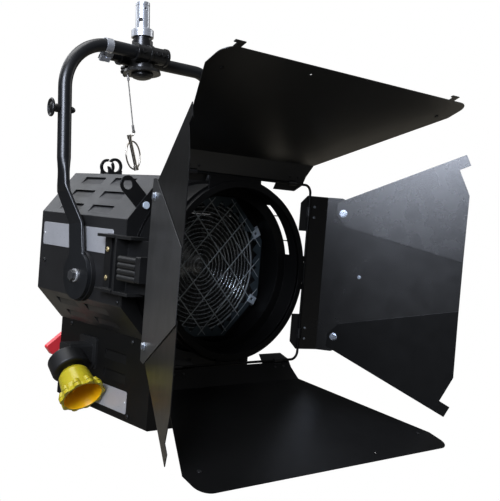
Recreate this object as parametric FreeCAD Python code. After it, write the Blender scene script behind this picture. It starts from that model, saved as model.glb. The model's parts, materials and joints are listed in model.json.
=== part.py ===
"""Studio fresnel spotlight with yoke, spigot and four-leaf rotating barndoor.

Millimetres.  +Z is up, the beam leaves towards -Y, +X is on the right of somebody facing the lens.
The origin of the row is the middle of the spigot's pin, by which the lamp hangs.
Pieces are drawn with their origin on the pan axis at the height of the tilt axis, and are lowered
together as they are written.  Head pieces are drawn in a level head frame whose origin is on the
tilt axis, then tilted and placed.
"""
import FreeCAD, Part
import math
import os

V = FreeCAD.Vector
X_AXIS = V(1, 0, 0)
Y_AXIS = V(0, 1, 0)
Z_AXIS = V(0, 0, 1)

# ---- driving dimensions -------------------------------------------------------------------
TILT_DEG = 6.4            # how far the beam dips below level at rest
TILT_AXIS_Y = -56.0       # the tilt axis is this far in front of the pan axis
HEAD_X = 7.0              # the head and both arms hang this far to the right of the pan axis
OPTIC_Z = 34.6            # optical axis above the tilt axis
SHEET = 1.5               # housing sheet
LEAF = 1.2                # barndoor sheet
FIT = 0.05                # radial clearance of a running fit

# head housing: an eight-sided tunnel over a narrower base
SIDE_X = 168.0
SIDE_Z = (-41.0, 110.0)
TOP_HALF = 102.0
TOP_Z = 191.0
FLOOR_HALF = 111.0
FLOOR_Z = -101.0
FRONT_Y = -133.0
REAR_Y = 171.0
BASE_Z = -257.0
BASE_Y = (-157.0, 168.0)

# lens door, snoot and barndoor ring
DOOR_Y = -138.5           # front face of the lens door plate
DOOR_T = 3.5
SNOOT_R = 150.0
SNOOT_Y = -232.0
RING_R = 157.0
RING_Y = (-241.0, -213.0)
LENS_R = 125.0
HINGE_H = 163.0           # barndoor hinge line from the optical axis
HINGE_Y = -237.0
ROD_R = 2.25

# barndoor leaves
STRIP_V = 39.0            # leaf bends this far from its hinge
BEND_DEG = 38.0
OPEN_DEG = {"top": 63.6, "bottom": 53.5, "right": 70.4, "left": 62.8}
LEAF_N = ROD_R + 0.35 - LEAF   # inner face of the strip, outward from the hinge plane
WING_PIVOT = (116.0, 71.0)

# yoke
TUBE_R = 12.7
TUBE_BORE = 10.7
ARM_X = 192.0
BAR_Z = 445.0
BAR_Y = 23.5
ARM_BEND_R = 95.0
RIGHT_BEND_R = 48.0       # the right arm turns down more tightly
STEM_R = 9.0
SPIGOT_R = 14.3

NODES = {}


# ---- drawing helpers ----------------------------------------------------------------------
def box(x, y, z):
    """Box between three (low, high) pairs."""
    return Part.makeBox(x[1] - x[0], y[1] - y[0], z[1] - z[0], V(x[0], y[0], z[0]))


def rod(radius, start, end):
    start, end = V(*start), V(*end)
    return Part.makeCylinder(radius, (end - start).Length, start, end - start)


def cone(r_start, r_end, start, end):
    start, end = V(*start), V(*end)
    return Part.makeCone(r_start, r_end, (end - start).Length, start, end - start)


def tube(r_out, r_in, start, end):
    return rod(r_out, start, end).cut(rod(r_in, start, end))


def prism(points, push):
    """Straight prism on a closed outline of (x, y, z) points."""
    corners = [V(*p) for p in points]
    return Part.Face(Part.makePolygon(corners + corners[:1])).extrude(V(*push))


def fuse(shapes):
    shapes = list(shapes)
    if len(shapes) == 1:
        return shapes[0]
    return shapes[0].multiFuse(shapes[1:]).removeSplitter()


def cut_all(shape, tools):
    return shape.cut(Part.makeCompound(list(tools)))


def turned(profile, origin=(0, 0, 0), axis=Y_AXIS):
    """Turn a closed (radius, along) outline about the Y axis, or about Z when asked."""
    if axis == Y_AXIS:
        points = [V(r, a, 0) for r, a in profile]
    else:
        points = [V(r, 0, a) for r, a in profile]
    solid = Part.Face(Part.makePolygon(points + points[:1])).revolve(V(0, 0, 0), axis, 360)
    solid.translate(V(*origin))
    return solid


def hexagon(across_flats, start, end):
    """Hexagonal bar between two points on the X, Y or Z direction."""
    start, end = V(*start), V(*end)
    radius = across_flats / math.sqrt(3)
    corners = [V(radius * math.cos(math.radians(60 * i)), radius * math.sin(math.radians(60 * i)), 0)
               for i in range(6)]
    bar = Part.Face(Part.makePolygon(corners + corners[:1])).extrude(V(0, 0, (end - start).Length))
    bar.Placement = FreeCAD.Placement(start, FreeCAD.Rotation(Z_AXIS, end - start))
    return bar


def rounded(shape, radius, pick):
    """Fillet the edges that pick(edge) accepts."""
    edges = [e for e in shape.Edges if pick(e)]
    return shape.makeFillet(radius, edges)


def along(direction):
    """Edge picker: straight edges along a direction."""
    def pick(edge):
        if not isinstance(edge.Curve, Part.Line):
            return False
        return abs(edge.tangentAt(edge.FirstParameter).dot(direction)) > 0.999
    return pick


def pipe(path_edges, radius):
    """Round bar or tube swept along joined edges."""
    wire = Part.Wire(path_edges)
    first = path_edges[0]
    start = first.valueAt(first.FirstParameter)
    tangent = first.tangentAt(first.FirstParameter)
    ring = Part.Wire(Part.Circle(start, tangent, radius).toShape())
    return wire.makePipeShell([ring], True, False)


def rod_path(points, bend):
    """Edges through points with round corners of one bend radius; the ends stay straight."""
    points = [V(*p) for p in points]
    edges = []
    last = points[0]
    for before, corner, after in zip(points, points[1:], points[2:]):
        into = (corner - before).normalize()
        out = (after - corner).normalize()
        half = math.acos(max(-1.0, min(1.0, into.dot(out)))) / 2
        reach = bend * math.tan(half)
        start = corner - into * reach
        end = corner + out * reach
        middle = corner + (out - into).normalize() * (bend / math.cos(half) - bend)
        edges.append(Part.LineSegment(last, start).toShape())
        edges.append(Part.Arc(start, middle, end).toShape())
        last = end
    edges.append(Part.LineSegment(last, points[-1]).toShape())
    return edges


def place(shape, origin, x_dir, y_dir, z_dir):
    """Move a shape drawn in local axes to the given axes."""
    m = FreeCAD.Matrix(x_dir.x, y_dir.x, z_dir.x, origin.x,
                       x_dir.y, y_dir.y, z_dir.y, origin.y,
                       x_dir.z, y_dir.z, z_dir.z, origin.z,
                       0, 0, 0, 1)
    moved = shape.copy()
    moved.Placement = FreeCAD.Placement(m).multiply(moved.Placement)
    return moved


def add(name, shape):
    """Keep a piece drawn about the pan axis, at the height of the tilt axis."""
    NODES[name] = shape


def add_head(name, shape):
    """Keep a piece drawn in the level head frame."""
    tilted = shape.copy()
    tilted.rotate(V(0, 0, 0), X_AXIS, TILT_DEG)
    tilted.translate(V(HEAD_X, TILT_AXIS_Y, 0))
    NODES[name] = tilted


# ---- hanger: what the grid's socket grips --------------------------------------------------
SPIGOT_Z = (500.0, 556.0)
SPIGOT_CHAMFER = 1.0
PIN_MIDDLE = (SPIGOT_Z[0] + SPIGOT_Z[1] - SPIGOT_CHAMFER) / 2   # the row's origin
FLANGE_Z = 484.0
CASTING_Z = (410.0, 465.0)
CROSS_HOLE_Z = 517.5


def spigot():
    """Stem and pin turned from one bar, with a safety cross hole and a shallow locking groove."""
    base, top = SPIGOT_Z
    outline = [(0, 400), (STEM_R, 400), (STEM_R, FLANGE_Z), (22.4, FLANGE_Z), (22.4, base - 2), (20.4, base),
               (SPIGOT_R, base), (SPIGOT_R, 547), (13.4, 547), (13.4, 549), (SPIGOT_R, 549),
               (SPIGOT_R, top - SPIGOT_CHAMFER), (SPIGOT_R - SPIGOT_CHAMFER, top), (0, top)]
    pin = turned(outline, axis=Z_AXIS)
    cross = V(-math.cos(math.radians(40)), -math.sin(math.radians(40)), 0)
    hole = Part.makeCylinder(4.8, 60, V(0, 0, CROSS_HOLE_Z) - cross * 30, cross)
    small = rod(2.2, (0, 0, 541), (-5, -30, 541))
    return cut_all(pin, [hole, small])


def hanger():
    add("spigot_pin", spigot())
    collar = fuse([tube(21, STEM_R + FIT, (0, 0, CASTING_Z[1]), (0, 0, 476)),
                   tube(18.5, STEM_R + FIT, (0, 0, 476), (0, 0, FLANGE_Z))])
    cap = turned([(STEM_R, 409.9), (22, 409.9), (22, 406), (18.5, 402), (12, 399.4), (0, 398.6), (0, 400),
                  (STEM_R, 400)], axis=Z_AXIS)
    add("pan_bearing", Part.makeCompound([collar, cap]))


# ---- yoke ---------------------------------------------------------------------------------
SLEEVE_R = 16.5
NEAR_SLEEVE = (-34.0, 41.0)     # closed at its right end
FAR_SLEEVE = (-41.0, 34.0)      # open at both ends
SCREW_X = (-22.0, 12.0, 24.0)
BORE_END = 35.0
STUB_END = -54.0


def pivot_casting():
    """Boss round the stem with one sleeve in front of it and one behind, each ringed by three ribs."""
    body = [rod(25, (0, 0, CASTING_Z[0] + 7), (0, 0, CASTING_Z[1])),
            cone(38, 36, (0, 0, CASTING_Z[0]), (0, 0, CASTING_Z[0] + 7))]
    for y, (low, high) in ((-BAR_Y, NEAR_SLEEVE), (BAR_Y, FAR_SLEEVE)):
        body.append(rod(SLEEVE_R, (low, y, BAR_Z), (high, y, BAR_Z)))
        for rib in (low, low + 30, high - 5):
            body.append(rod(SLEEVE_R + 1.6, (rib, y, BAR_Z), (rib + 5, y, BAR_Z)))
    body.append(cone(SLEEVE_R - 0.5, 9, (NEAR_SLEEVE[1], -BAR_Y, BAR_Z), (NEAR_SLEEVE[1] + 3, -BAR_Y, BAR_Z)))
    body.append(rod(9, (0, 20, 428), (0, 40, 428)))
    casting = fuse(body)
    bores = [rod(TUBE_R + 0.02, (-60, -BAR_Y, BAR_Z), (BORE_END, -BAR_Y, BAR_Z)),
             rod(TUBE_R + 0.02, (-60, BAR_Y, BAR_Z), (60, BAR_Y, BAR_Z)),
             rod(STEM_R + FIT, (0, 0, 400), (0, 0, 470)), rod(4 + FIT, (0, 5, 428), (0, 50, 428))]
    bores += [rod(3, (x, -60, BAR_Z), (x, -30, BAR_Z)) for x in SCREW_X]
    bores += [rod(3, (x, 30, BAR_Z), (x, 60, BAR_Z)) for x in SCREW_X]
    return cut_all(casting, bores)


def clamp_screws():
    screws = []
    for side in (-1, 1):
        wall = side * (BAR_Y + TUBE_R + 0.02)
        for x in SCREW_X:
            shank = rod(2.98, (x, wall, BAR_Z), (x, wall + side * 4.5, BAR_Z))
            head = rod(4.6, (x, wall + side * 4.5, BAR_Z), (x, wall + side * 6.5, BAR_Z))
            screws.append(fuse([shank, head]))
    return screws


def flat_section(x, y, z, width, thickness):
    """Rounded flat section of the pressed tube, lying in a level plane."""
    corner = thickness / 2 - 0.3
    half_w, half_t = width / 2, thickness / 2
    points = [V(x - half_t, y - half_w, z), V(x + half_t, y - half_w, z),
              V(x + half_t, y + half_w, z), V(x - half_t, y + half_w, z)]
    edges = []
    for i in range(4):
        here, after = points[i], points[(i + 1) % 4]
        step = (after - here).normalize() * corner
        edges.append(Part.LineSegment(here + step, after - step).toShape())
        beyond = (points[(i + 2) % 4] - after).normalize() * corner
        turn = after - step * 0.293 + beyond * 0.293
        edges.append(Part.Arc(after - step, turn, after + beyond).toShape())
    return Part.Wire(edges)


def yoke_arm(side, bar_end, bend_r, bend_z):
    """One arm: bar, bend and drop in round tube, then a pressed flat end round the tilt bolt."""
    x = HEAD_X + side * ARM_X
    y = side * BAR_Y
    path = rod_path([(bar_end, y, BAR_Z), (x, y, BAR_Z), (x, y, 217)], bend_r)
    arm = pipe(path, TUBE_R).cut(pipe(path, TUBE_BORE))
    ring = Part.Wire(Part.Circle(V(x, y, 217), Z_AXIS, TUBE_R).toShape())
    flats = [(x, y, bend_z[0] + 12, 34, 13), (x - side, y, bend_z[0], 42, 8)]
    inner = HEAD_X + side * FLAT_X
    flats2 = [flats[1], (inner, TILT_AXIS_Y + 4, bend_z[1], 47, 7)]
    arm_parts = [arm, Part.makeLoft([ring, flat_section(*flats[0])], True, False),
                 Part.makeLoft([flat_section(*f) for f in flats], True, True),
                 Part.makeLoft([flat_section(*f) for f in flats2], True, True)]
    low = [(inner, TILT_AXIS_Y + 4, bend_z[1], 47, 7), (inner, TILT_AXIS_Y, 20, 50, 7)]
    arm_parts.append(Part.makeLoft([flat_section(*f) for f in low], True, True))
    arm_parts.append(rod(44, (inner - side * 3.5, TILT_AXIS_Y, 0), (inner + side * 3.5, TILT_AXIS_Y, 0)))
    arm = fuse(arm_parts)
    bores = [rod(TILT_BOLT_R + FIT, (side * 150, TILT_AXIS_Y, 0), (side * 250, TILT_AXIS_Y, 0))]
    if side < 0:
        bores.append(rod(4 + FIT, (x - 40, y, THUMB_Z), (x + 30, y, THUMB_Z)))
    return cut_all(arm, bores)


TILT_BOLT_R = 7.0
TILT_DISC_R = 47.0
FLAT_X = 180.0            # the pressed ends stand this far either side of the head's middle
THUMB_Z = 308.0
CLIP_X = -95.0


def thumb_screw():
    """Screw with an oval head through the left arm; it clamps a cable to the tube."""
    x, y = HEAD_X - ARM_X, -BAR_Y
    shank = rod(4, (x - 24, y, THUMB_Z), (x + 20, y, THUMB_Z))
    dome = cone(6.5, 4.5, (x + TUBE_R + 0.1, y, THUMB_Z), (x + 20, y, THUMB_Z))
    outline = Part.Ellipse(V(0, 0, 0), 17.5, 12.2).toShape()
    wing = Part.Face(Part.Wire(outline)).extrude(V(0, 0, 5))
    wing.rotate(V(0, 0, 0), Y_AXIS, 90)
    wing.translate(V(x - 30, y, THUMB_Z))
    boss = rod(8, (x - 25, y, THUMB_Z), (x - TUBE_R - 0.1, y, THUMB_Z))
    return fuse([shank, dome, wing, boss])


def cable_clip():
    y = -BAR_Y
    band = tube(TUBE_R + 1.4, TUBE_R + 0.02, (CLIP_X - 7.5, y, BAR_Z), (CLIP_X + 7.5, y, BAR_Z))
    ears = box((CLIP_X - 7.5, CLIP_X + 7.5), (y - 3.2, y - 1.6), (BAR_Z - 31, BAR_Z - 13.2))
    other = box((CLIP_X - 7.5, CLIP_X + 7.5), (y + 1.6, y + 3.2), (BAR_Z - 31, BAR_Z - 13.2))
    holes = rod(3.05, (CLIP_X, y - 20, BAR_Z - 24), (CLIP_X, y + 20, BAR_Z - 24))
    return fuse([band, ears, other]).cut(holes)


def cable_clip_screw():
    y = -BAR_Y
    z = BAR_Z - 24
    shank = rod(3, (CLIP_X, y - 6, z), (CLIP_X, y + 9, z))
    head = rod(6.5, (CLIP_X, y - 9, z), (CLIP_X, y - 3.25, z))
    wings = [box((CLIP_X + a, CLIP_X + b), (y - 12, y - 9), (z - 5, z + 5)) for a, b in ((-11, -2), (2, 11))]
    wings.append(box((CLIP_X - 3, CLIP_X + 3), (y - 12, y - 9), (z - 3, z + 3)))
    return fuse([shank, head] + wings)


def pan_lock_knob():
    grip = rod(14, (0, 44, 428), (0, 60, 428))
    notches = []
    for i in range(8):
        a = math.radians(45 * i)
        x, z = 15.5 * math.cos(a), 428 + 15.5 * math.sin(a)
        notches.append(rod(3.5, (x, 43, z), (x, 61, z)))
    return fuse([cut_all(grip, notches), rod(4, (0, 12, 428), (0, 44, 428)),
                 rod(7, (0, 40.3, 428), (0, 44, 428))])


def bar_plug():
    """Grooved plug that closes the stub of the right arm's bar."""
    plug = fuse([rod(TUBE_R, (STUB_END - 6, BAR_Y, BAR_Z), (STUB_END, BAR_Y, BAR_Z)),
                 rod(TUBE_BORE, (STUB_END, BAR_Y, BAR_Z), (STUB_END + 10, BAR_Y, BAR_Z))])
    return plug.cut(tube(TUBE_R + 1, TUBE_R - 1.2, (STUB_END - 3.4, BAR_Y, BAR_Z),
                         (STUB_END - 2, BAR_Y, BAR_Z)))


def yoke():
    add("pivot_casting", pivot_casting())
    left = yoke_arm(-1, BORE_END - 0.5, ARM_BEND_R, (155, 95))
    add("yoke_arm_left", left)
    add("yoke_arm_right", yoke_arm(1, STUB_END, RIGHT_BEND_R, (190, 95)))
    add("arm_fixings", Part.makeCompound([bar_plug()] + clamp_screws()))
    clip = Part.makeCompound([cable_clip(), cable_clip_screw()])
    clip.rotate(V(CLIP_X, -BAR_Y, BAR_Z), X_AXIS, 45)
    add("cable_clip", clip.cut(left))
    add("arm_thumb_screw", thumb_screw())
    add("pan_lock_knob", pan_lock_knob())


# ---- hitch pin on its lanyard ---------------------------------------------------------------
LANYARD_TOP = (-34.0, 0.0, 405.5)
LANYARD_END = (-18.0, 0.0, 290.0)


def lanyard():
    """Cable on an eye that swings about X, ending in an eye that swings about Y."""
    x, _, z = LANYARD_TOP
    end_x, _, end_z = LANYARD_END
    top_eye = tube(3.6, 1.4, (x - 1.2, 0, z), (x + 1.2, 0, z))
    low_eye = tube(3.2, 1.2, (end_x, -1.0, end_z), (end_x, 1.0, end_z))
    drop = rod(0.9, (x + 0.4, 0, z - 3), (end_x - 1, 0, end_z + 4))
    return fuse([top_eye, drop, low_eye, rod(2.4, (x + 0.4, 0, z - 3), (x + 2.0, 0, z - 14)),
                 rod(2.4, (end_x - 2.6, 0, end_z + 13), (end_x - 0.6, 0, end_z + 2.6))])


def hitch_pin():
    """Straight pin with a collar at its foot, hung from the cable's eye by a small ring."""
    end_x, _, end_z = LANYARD_END
    top, foot = (-27.0, 0.0, 275.0), (-11.0, 0.0, 216.0)
    collar = rod(4.8, (-12.6, 0, 222), (-10.2, 0, 213))
    pin = fuse([rod(3.4, top, foot), rod(4.4, (-29.0, 0, 282.5), top), collar])
    link = pipe(rod_path([(-27, 0, 279), (end_x - 0.4, 0, end_z - 7), (end_x, 0, end_z - 3.4)], 3), 1.1)
    return fuse([pin, link])


def pin_ring():
    """Oval wire keeper that snaps over the pin's foot and hangs on the cable."""
    loop = Part.Ellipse(V(0, 0, 0), 28, 16.5).toShape()
    around = Part.Wire(loop)
    start = V(28, 0, 0)
    profile = Part.Wire(Part.Circle(start, Y_AXIS, 1.5).toShape())
    ring = around.makePipeShell([profile], True, False)
    ring.rotate(V(0, 0, 0), Z_AXIS, 90)
    ring.rotate(V(0, 0, 0), X_AXIS, 90)
    ring.rotate(V(0, 0, 0), Y_AXIS, -6)
    ring.translate(V(-14, 7.4, 244))
    return ring


def safety_lanyard():
    add("lanyard_cable", lanyard())
    add("hitch_pin", Part.makeCompound([hitch_pin(), pin_ring()]))


# ---- head housing -------------------------------------------------------------------------
def section(grow=0.0):
    """Eight corners of the tunnel, moved outwards by grow (negative moves in)."""
    corners = [(-FLOOR_HALF, FLOOR_Z), (-SIDE_X, SIDE_Z[0]), (-SIDE_X, SIDE_Z[1]), (-TOP_HALF, TOP_Z),
               (TOP_HALF, TOP_Z), (SIDE_X, SIDE_Z[1]), (SIDE_X, SIDE_Z[0]), (FLOOR_HALF, FLOOR_Z)]
    moved = []
    count = len(corners)
    for i, (x, z) in enumerate(corners):
        normals = []
        for a, b in ((corners[i - 1], corners[i]), (corners[i], corners[(i + 1) % count])):
            length = math.hypot(b[0] - a[0], b[1] - a[1])
            normals.append((-(b[1] - a[1]) / length, (b[0] - a[0]) / length))
        dot = normals[0][0] * normals[1][0] + normals[0][1] * normals[1][1]
        scale = grow / (1 + dot)
        moved.append((x + scale * (normals[0][0] + normals[1][0]),
                      z + scale * (normals[0][1] + normals[1][1])))
    return moved


def tunnel(y0, y1, grow=0.0, radius=0.0):
    solid = prism([(x, y0, z) for x, z in section(grow)], (0, y1 - y0, 0))
    if radius:
        solid = rounded(solid, radius, along(Y_AXIS))
    return solid


LOUVRE_LONG = 76.0
LOUVRE_W = 18.0
LOUVRE_DEEP = 4.0


def louvre_axes(foot, head, y):
    """Local axes of a pressed louvre on a panel that runs from foot (x, z) up to head (x, z)."""
    run = V(head[0] - foot[0], 0, head[1] - foot[1]).normalize()
    out = V(-run.z, 0, run.x) if foot[0] < 0 else V(run.z, 0, -run.x)
    return V(0, y, 0), run, out


def louvre_cut_and_ramp(foot, head, up, y0):
    """A slot that is cut along its upper edge, and the ramp of sheet pressed inwards below it."""
    _, run, out = louvre_axes(foot, head, y0)
    origin = V(foot[0], y0, foot[1]) + run * up
    def at(along_run, inward, y_shift=0.0):
        p = origin + run * along_run - out * inward
        return (p.x, p.y + y_shift, p.z)
    hole = prism([at(0, -2), at(LOUVRE_W, -2), at(LOUVRE_W, SHEET + 2), at(0, SHEET + 2)],
                 (0, LOUVRE_LONG, 0))
    ramp = prism([at(0, 0), at(LOUVRE_W, LOUVRE_DEEP), at(LOUVRE_W, LOUVRE_DEEP + SHEET), at(0, SHEET + 0.4)],
                 (0, LOUVRE_LONG, 0))
    cheek = [at(0, 0.2), at(LOUVRE_W, 0.2), at(LOUVRE_W, LOUVRE_DEEP + SHEET), at(0, SHEET + 0.2)]
    cheeks = [prism(cheek, (0, SHEET, 0)), prism([(x, y + LOUVRE_LONG - SHEET, z) for x, y, z in cheek],
                                                 (0, SHEET, 0))]
    return hole, fuse([ramp] + cheeks)


UPPER_ROWS = (10.0, 44.0, 78.0)   # distance down the upper chamfer to each louvre's cut edge
LOWER_ROWS = (16.0, 50.0)
LOUVRE_Y = (-67.0, 40.0)


def louvred(shell, panels):
    """Press a grid of louvres into a shell; panels are (foot, head, rows up from the foot, y starts)."""
    holes, ramps = [], []
    for foot, head, rows, starts in panels:
        for up in rows:
            for y0 in starts:
                hole, ramp = louvre_cut_and_ramp(foot, head, up, y0)
                holes.append(hole)
                ramps.append(ramp)
    return fuse([cut_all(shell, holes)] + ramps)


def housing_wrap():
    """One sheet folded round the sides and top, louvred on all four chamfers, open below."""
    outer = tunnel(FRONT_Y, REAR_Y, 0, 3)
    inner = tunnel(FRONT_Y - 1, REAR_Y + 1, -SHEET, 1.5)
    floor_gap = box((-FLOOR_HALF + 2, FLOOR_HALF - 2), (FRONT_Y - 1, REAR_Y + 1), (FLOOR_Z - 5, FLOOR_Z + 5))
    shell = cut_all(outer, [inner, floor_gap])
    chamfer = math.hypot(SIDE_X - TOP_HALF, TOP_Z - SIDE_Z[1])
    upper_rows = [chamfer - down - LOUVRE_W for down in UPPER_ROWS]
    lower = math.hypot(SIDE_X - FLOOR_HALF, SIDE_Z[0] - FLOOR_Z)
    lower_rows = [lower - down - LOUVRE_W for down in LOWER_ROWS]
    panels = []
    for s in (-1, 1):
        panels.append(((s * SIDE_X, SIDE_Z[1]), (s * TOP_HALF, TOP_Z), upper_rows, LOUVRE_Y))
        panels.append(((s * FLOOR_HALF, FLOOR_Z), (s * SIDE_X, SIDE_Z[0]), lower_rows, LOUVRE_Y))
    shell = louvred(shell, panels)
    bolts = [rod(TILT_BOLT_R + FIT, (s * 150, 0, 0), (s * 180, 0, 0)) for s in (-1, 1)]
    return cut_all(shell, bolts)


def rear_panel():
    """Back cover: a tray whose lip fits inside the wrap, with two vent rows and a cable hole."""
    plate = tunnel(REAR_Y, REAR_Y + SHEET, -0.4, 3)
    lip = tunnel(REAR_Y - 14, REAR_Y, -SHEET - 0.3, 1.5).cut(
        tunnel(REAR_Y - 15, REAR_Y + 1, -2 * SHEET - 0.3, 0.5))
    lip = lip.cut(box((-120, 120), (REAR_Y - 15, REAR_Y), (FLOOR_Z - 5, FLOOR_Z + 8)))
    panel = fuse([plate, lip])
    slots = []
    for row in range(5):
        z = 60 + 18 * row
        for x in (-70, 0, 70):
            slots.append(box((x - 25, x + 25), (REAR_Y - 1, REAR_Y + 5), (z, z + 5)))
    return cut_all(panel, slots)


APERTURE_R = 141.0


def front_bulkhead():
    """Inner front plate the lens door closes against."""
    plate = tunnel(FRONT_Y, FRONT_Y + SHEET, -SHEET - 0.3, 1.5)
    centre = (0, FRONT_Y - 1, OPTIC_Z)
    opening = rod(APERTURE_R - 6, centre, (0, FRONT_Y + 5, OPTIC_Z))
    flange = tunnel(FRONT_Y, FRONT_Y + 14, -SHEET - 0.3, 1.5).cut(
        tunnel(FRONT_Y - 1, FRONT_Y + 15, -2 * SHEET - 0.3, 0.5))
    flange = flange.cut(box((-115, 115), (FRONT_Y - 1, FRONT_Y + 15), (FLOOR_Z - 1, FLOOR_Z + 8)))
    return fuse([plate.cut(opening), flange])


def floor_plate():
    plate = box((-FLOOR_HALF + 3.5, FLOOR_HALF - 3.5), (FRONT_Y + SHEET + 1, REAR_Y - 1),
                (FLOOR_Z, FLOOR_Z + SHEET))
    vents = [box((-60, 60), (y, y + 6), (FLOOR_Z - 1, FLOOR_Z + 3)) for y in range(-90, 120, 30)]
    return fuse([cut_all(plate, vents)] + rail_end_blocks())


FOCUS_SCREW_R = 5.0


def base_box():
    """Tray under the head for the wiring: floor, sides and ends, with pressed louvres."""
    w, t = FLOOR_HALF, SHEET
    top = FLOOR_Z - 0.2
    outer = rounded(box((-w, w), BASE_Y, (BASE_Z, top)), 3,
                    lambda e: along(Y_AXIS)(e) and e.CenterOfMass.z < -200)
    inner = box((-w + t, w - t), (BASE_Y[0] + t, BASE_Y[1] - t), (BASE_Z + t, top + 1))
    shell = outer.cut(inner)
    rows = (BASE_SIDE_ROWS[0] - BASE_Z, BASE_SIDE_ROWS[1] - BASE_Z)
    panels = [((s * w, BASE_Z), (s * w, top), rows, (-79.0,)) for s in (-1, 1)]
    shell = louvred(shell, panels)
    step = FLOOR_Z - 3
    lid_front = box((-w + t, w - t), (BASE_Y[0] + t, FRONT_Y - 6), (step - t, step))
    rear = BASE_Y[1]
    holes = [rod(9, (-130, FOCUS_HUB.y, FOCUS_HUB.z), (-100, FOCUS_HUB.y, FOCUS_HUB.z)),
             rod(11, (GLAND[0], rear - 10, GLAND[1]), (GLAND[0], rear + 10, GLAND[1])),
             rod(9, (SWITCH[0], rear - 10, SWITCH[1]), (SWITCH[0], rear + 10, SWITCH[1]))]
    snoot_relief = rod(158, (0, BASE_Y[0] - 1, OPTIC_Z), (0, DOOR_Y + DOOR_T + 1, OPTIC_Z))
    door_relief = box((-w - 1, w + 1), (BASE_Y[0] - 1, DOOR_Y + DOOR_T + 1), (step, FLOOR_Z + 1))
    return cut_all(fuse([shell, lid_front]), holes + [snoot_relief, door_relief])


BASE_SIDE_ROWS = (-190.0, -154.0)
FOCUS_SHAFT_R = 6.0


def screw_on_x(x, y, z, radius, side):
    """Pan-head screw on a side face, its shank going inwards."""
    head = rod(radius, (x, y, z), (x + side * 1.2, y, z))
    dome = cone(radius, radius * 0.55, (x + side * 1.2, y, z), (x + side * 2.6, y, z))
    cross = [box((x + side * 1.6 - 1.2, x + side * 1.6 + 1.2), (y - a, y + a), (z - b, z + b))
             for a, b in ((radius * 0.5, 0.45), (0.45, radius * 0.5))]
    return cut_all(fuse([head, dome]), cross)


def housing_screws():
    """Pan heads along the base and the lower sides."""
    spots = [(127, -108), (-95, -110), (127, -245), (-95, -245)]
    screws = [screw_on_x(s * FLOOR_HALF, y, z, 4.2, s) for s in (-1, 1) for y, z in spots]
    screws += [screw_on_x(s * SIDE_X, y, z, 4.2, s) for s in (-1, 1) for y, z in ((150, 15), (-124, -34))]
    return Part.makeCompound(screws)


def catch_screws():
    return Part.makeCompound([screw_on_x(-SIDE_X - CATCH_PLATE, -90, z, 4.6, -1) for z in (55, 5)])


def blank_plates():
    """Two unmarked metal plates on the left side: the maker's panel and the rating panel."""
    return Part.makeCompound([nameplate(), rating_plate()])


def nameplate():
    plate = box((-SIDE_X - 1.0, -SIDE_X), (-97, 160), (46, 90))
    plate = rounded(plate, 5, along(X_AXIS))
    catch_room = box((-SIDE_X - 2, -SIDE_X + 1), (-101, -79.5), (40, 82.5))
    disc_room = rod(TILT_DISC_R + 0.4, (-SIDE_X - 2, 0, 0), (-SIDE_X + 1, 0, 0))
    return cut_all(plate, [catch_room, disc_room])


def rating_plate():
    plate = box((-FLOOR_HALF - 0.8, -FLOOR_HALF), (-89, 26), (-243, -202))
    return rounded(plate, 4, along(X_AXIS))


HOOKS = ((-70.0, 76.0, 165.0), (-57.0, 126.0, 62.0))    # x, y, and the angle of each opening
HOOK_RISE = 17.0


def cable_hooks():
    """Two open hooks on the roof that hold the slack supply cable."""
    hooks = []
    for x, y, opening in HOOKS:
        centre = (x, y, TOP_Z + HOOK_RISE)
        ring = tube(16, 10.8, (x, y - 2, centre[2]), (x, y + 2, centre[2]))
        gap = box((x + 6, x + 20), (y - 3, y + 3), (centre[2] - 5, centre[2] + 5))
        gap.rotate(V(*centre), Y_AXIS, -opening)
        hole = rod(10.8, (x, y - 3, centre[2]), (x, y + 3, centre[2]))
        foot = box((x - 14, x + 16), (y - 2, y + 2), (TOP_Z, TOP_Z + 10)).cut(hole)
        flange = box((x - 14, x + 16), (y - 2, y + 16), (TOP_Z, TOP_Z + 2))
        hooks.append(fuse([ring.cut(gap), foot, flange]))
    return Part.makeCompound(hooks)


def tilt_fittings():
    """Friction discs, bolts and the lock knob on the tilt axis."""
    discs = []
    for s in (-1, 1):
        discs.append(tube(TILT_DISC_R, TILT_BOLT_R + FIT, (s * SIDE_X, 0, 0), (s * 176.4, 0, 0)))
    add_head("tilt_friction_discs", Part.makeCompound(discs))
    left = fuse([rod(TILT_BOLT_R, (-156, 0, 0), (-186.5, 0, 0)), rod(12, (-183.6, 0, 0), (-186.5, 0, 0)),
                 hexagon(17, (-186.5, 0, 0), (-194, 0, 0))])
    inner_nuts = [hexagon(22, (s * 156, 0, 0), (s * (SIDE_X - SHEET), 0, 0)) for s in (-1, 1)]
    right = fuse([rod(TILT_BOLT_R, (156, 0, 0), (206, 0, 0)), inner_nuts[1]])
    add_head("tilt_bolts", Part.makeCompound([fuse([left, inner_nuts[0]]), right]))
    grip = rod(24, (190, 0, 0), (214, 0, 0))
    lobes = [rod(7, (186, 28 * math.cos(math.radians(60 * i)), 28 * math.sin(math.radians(60 * i))),
                 (220, 28 * math.cos(math.radians(60 * i)), 28 * math.sin(math.radians(60 * i))))
             for i in range(6)]
    bore = rod(TILT_BOLT_R + FIT, (180, 0, 0), (206.5, 0, 0))
    knob = cut_all(fuse([grip, rod(15, (183.6, 0, 0), (190, 0, 0))]), lobes + [bore])
    add_head("tilt_lock_knob", knob)


def sorted_pair(a, b):
    return (min(a, b), max(a, b))


# ---- focus drive and lamp carriage ----------------------------------------------------------
CARRIAGE_Y = 20.0
RAIL_X = 62.0
RAIL_Z = -72.0
RAIL_R = 5.0
SCREW_Z = -84.0
CUP_AXIS = V(0, -0.784, -0.620)
FOCUS_HUB = V(-158.0, 52.0, -168.0)
HUB_R = 36.0


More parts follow.
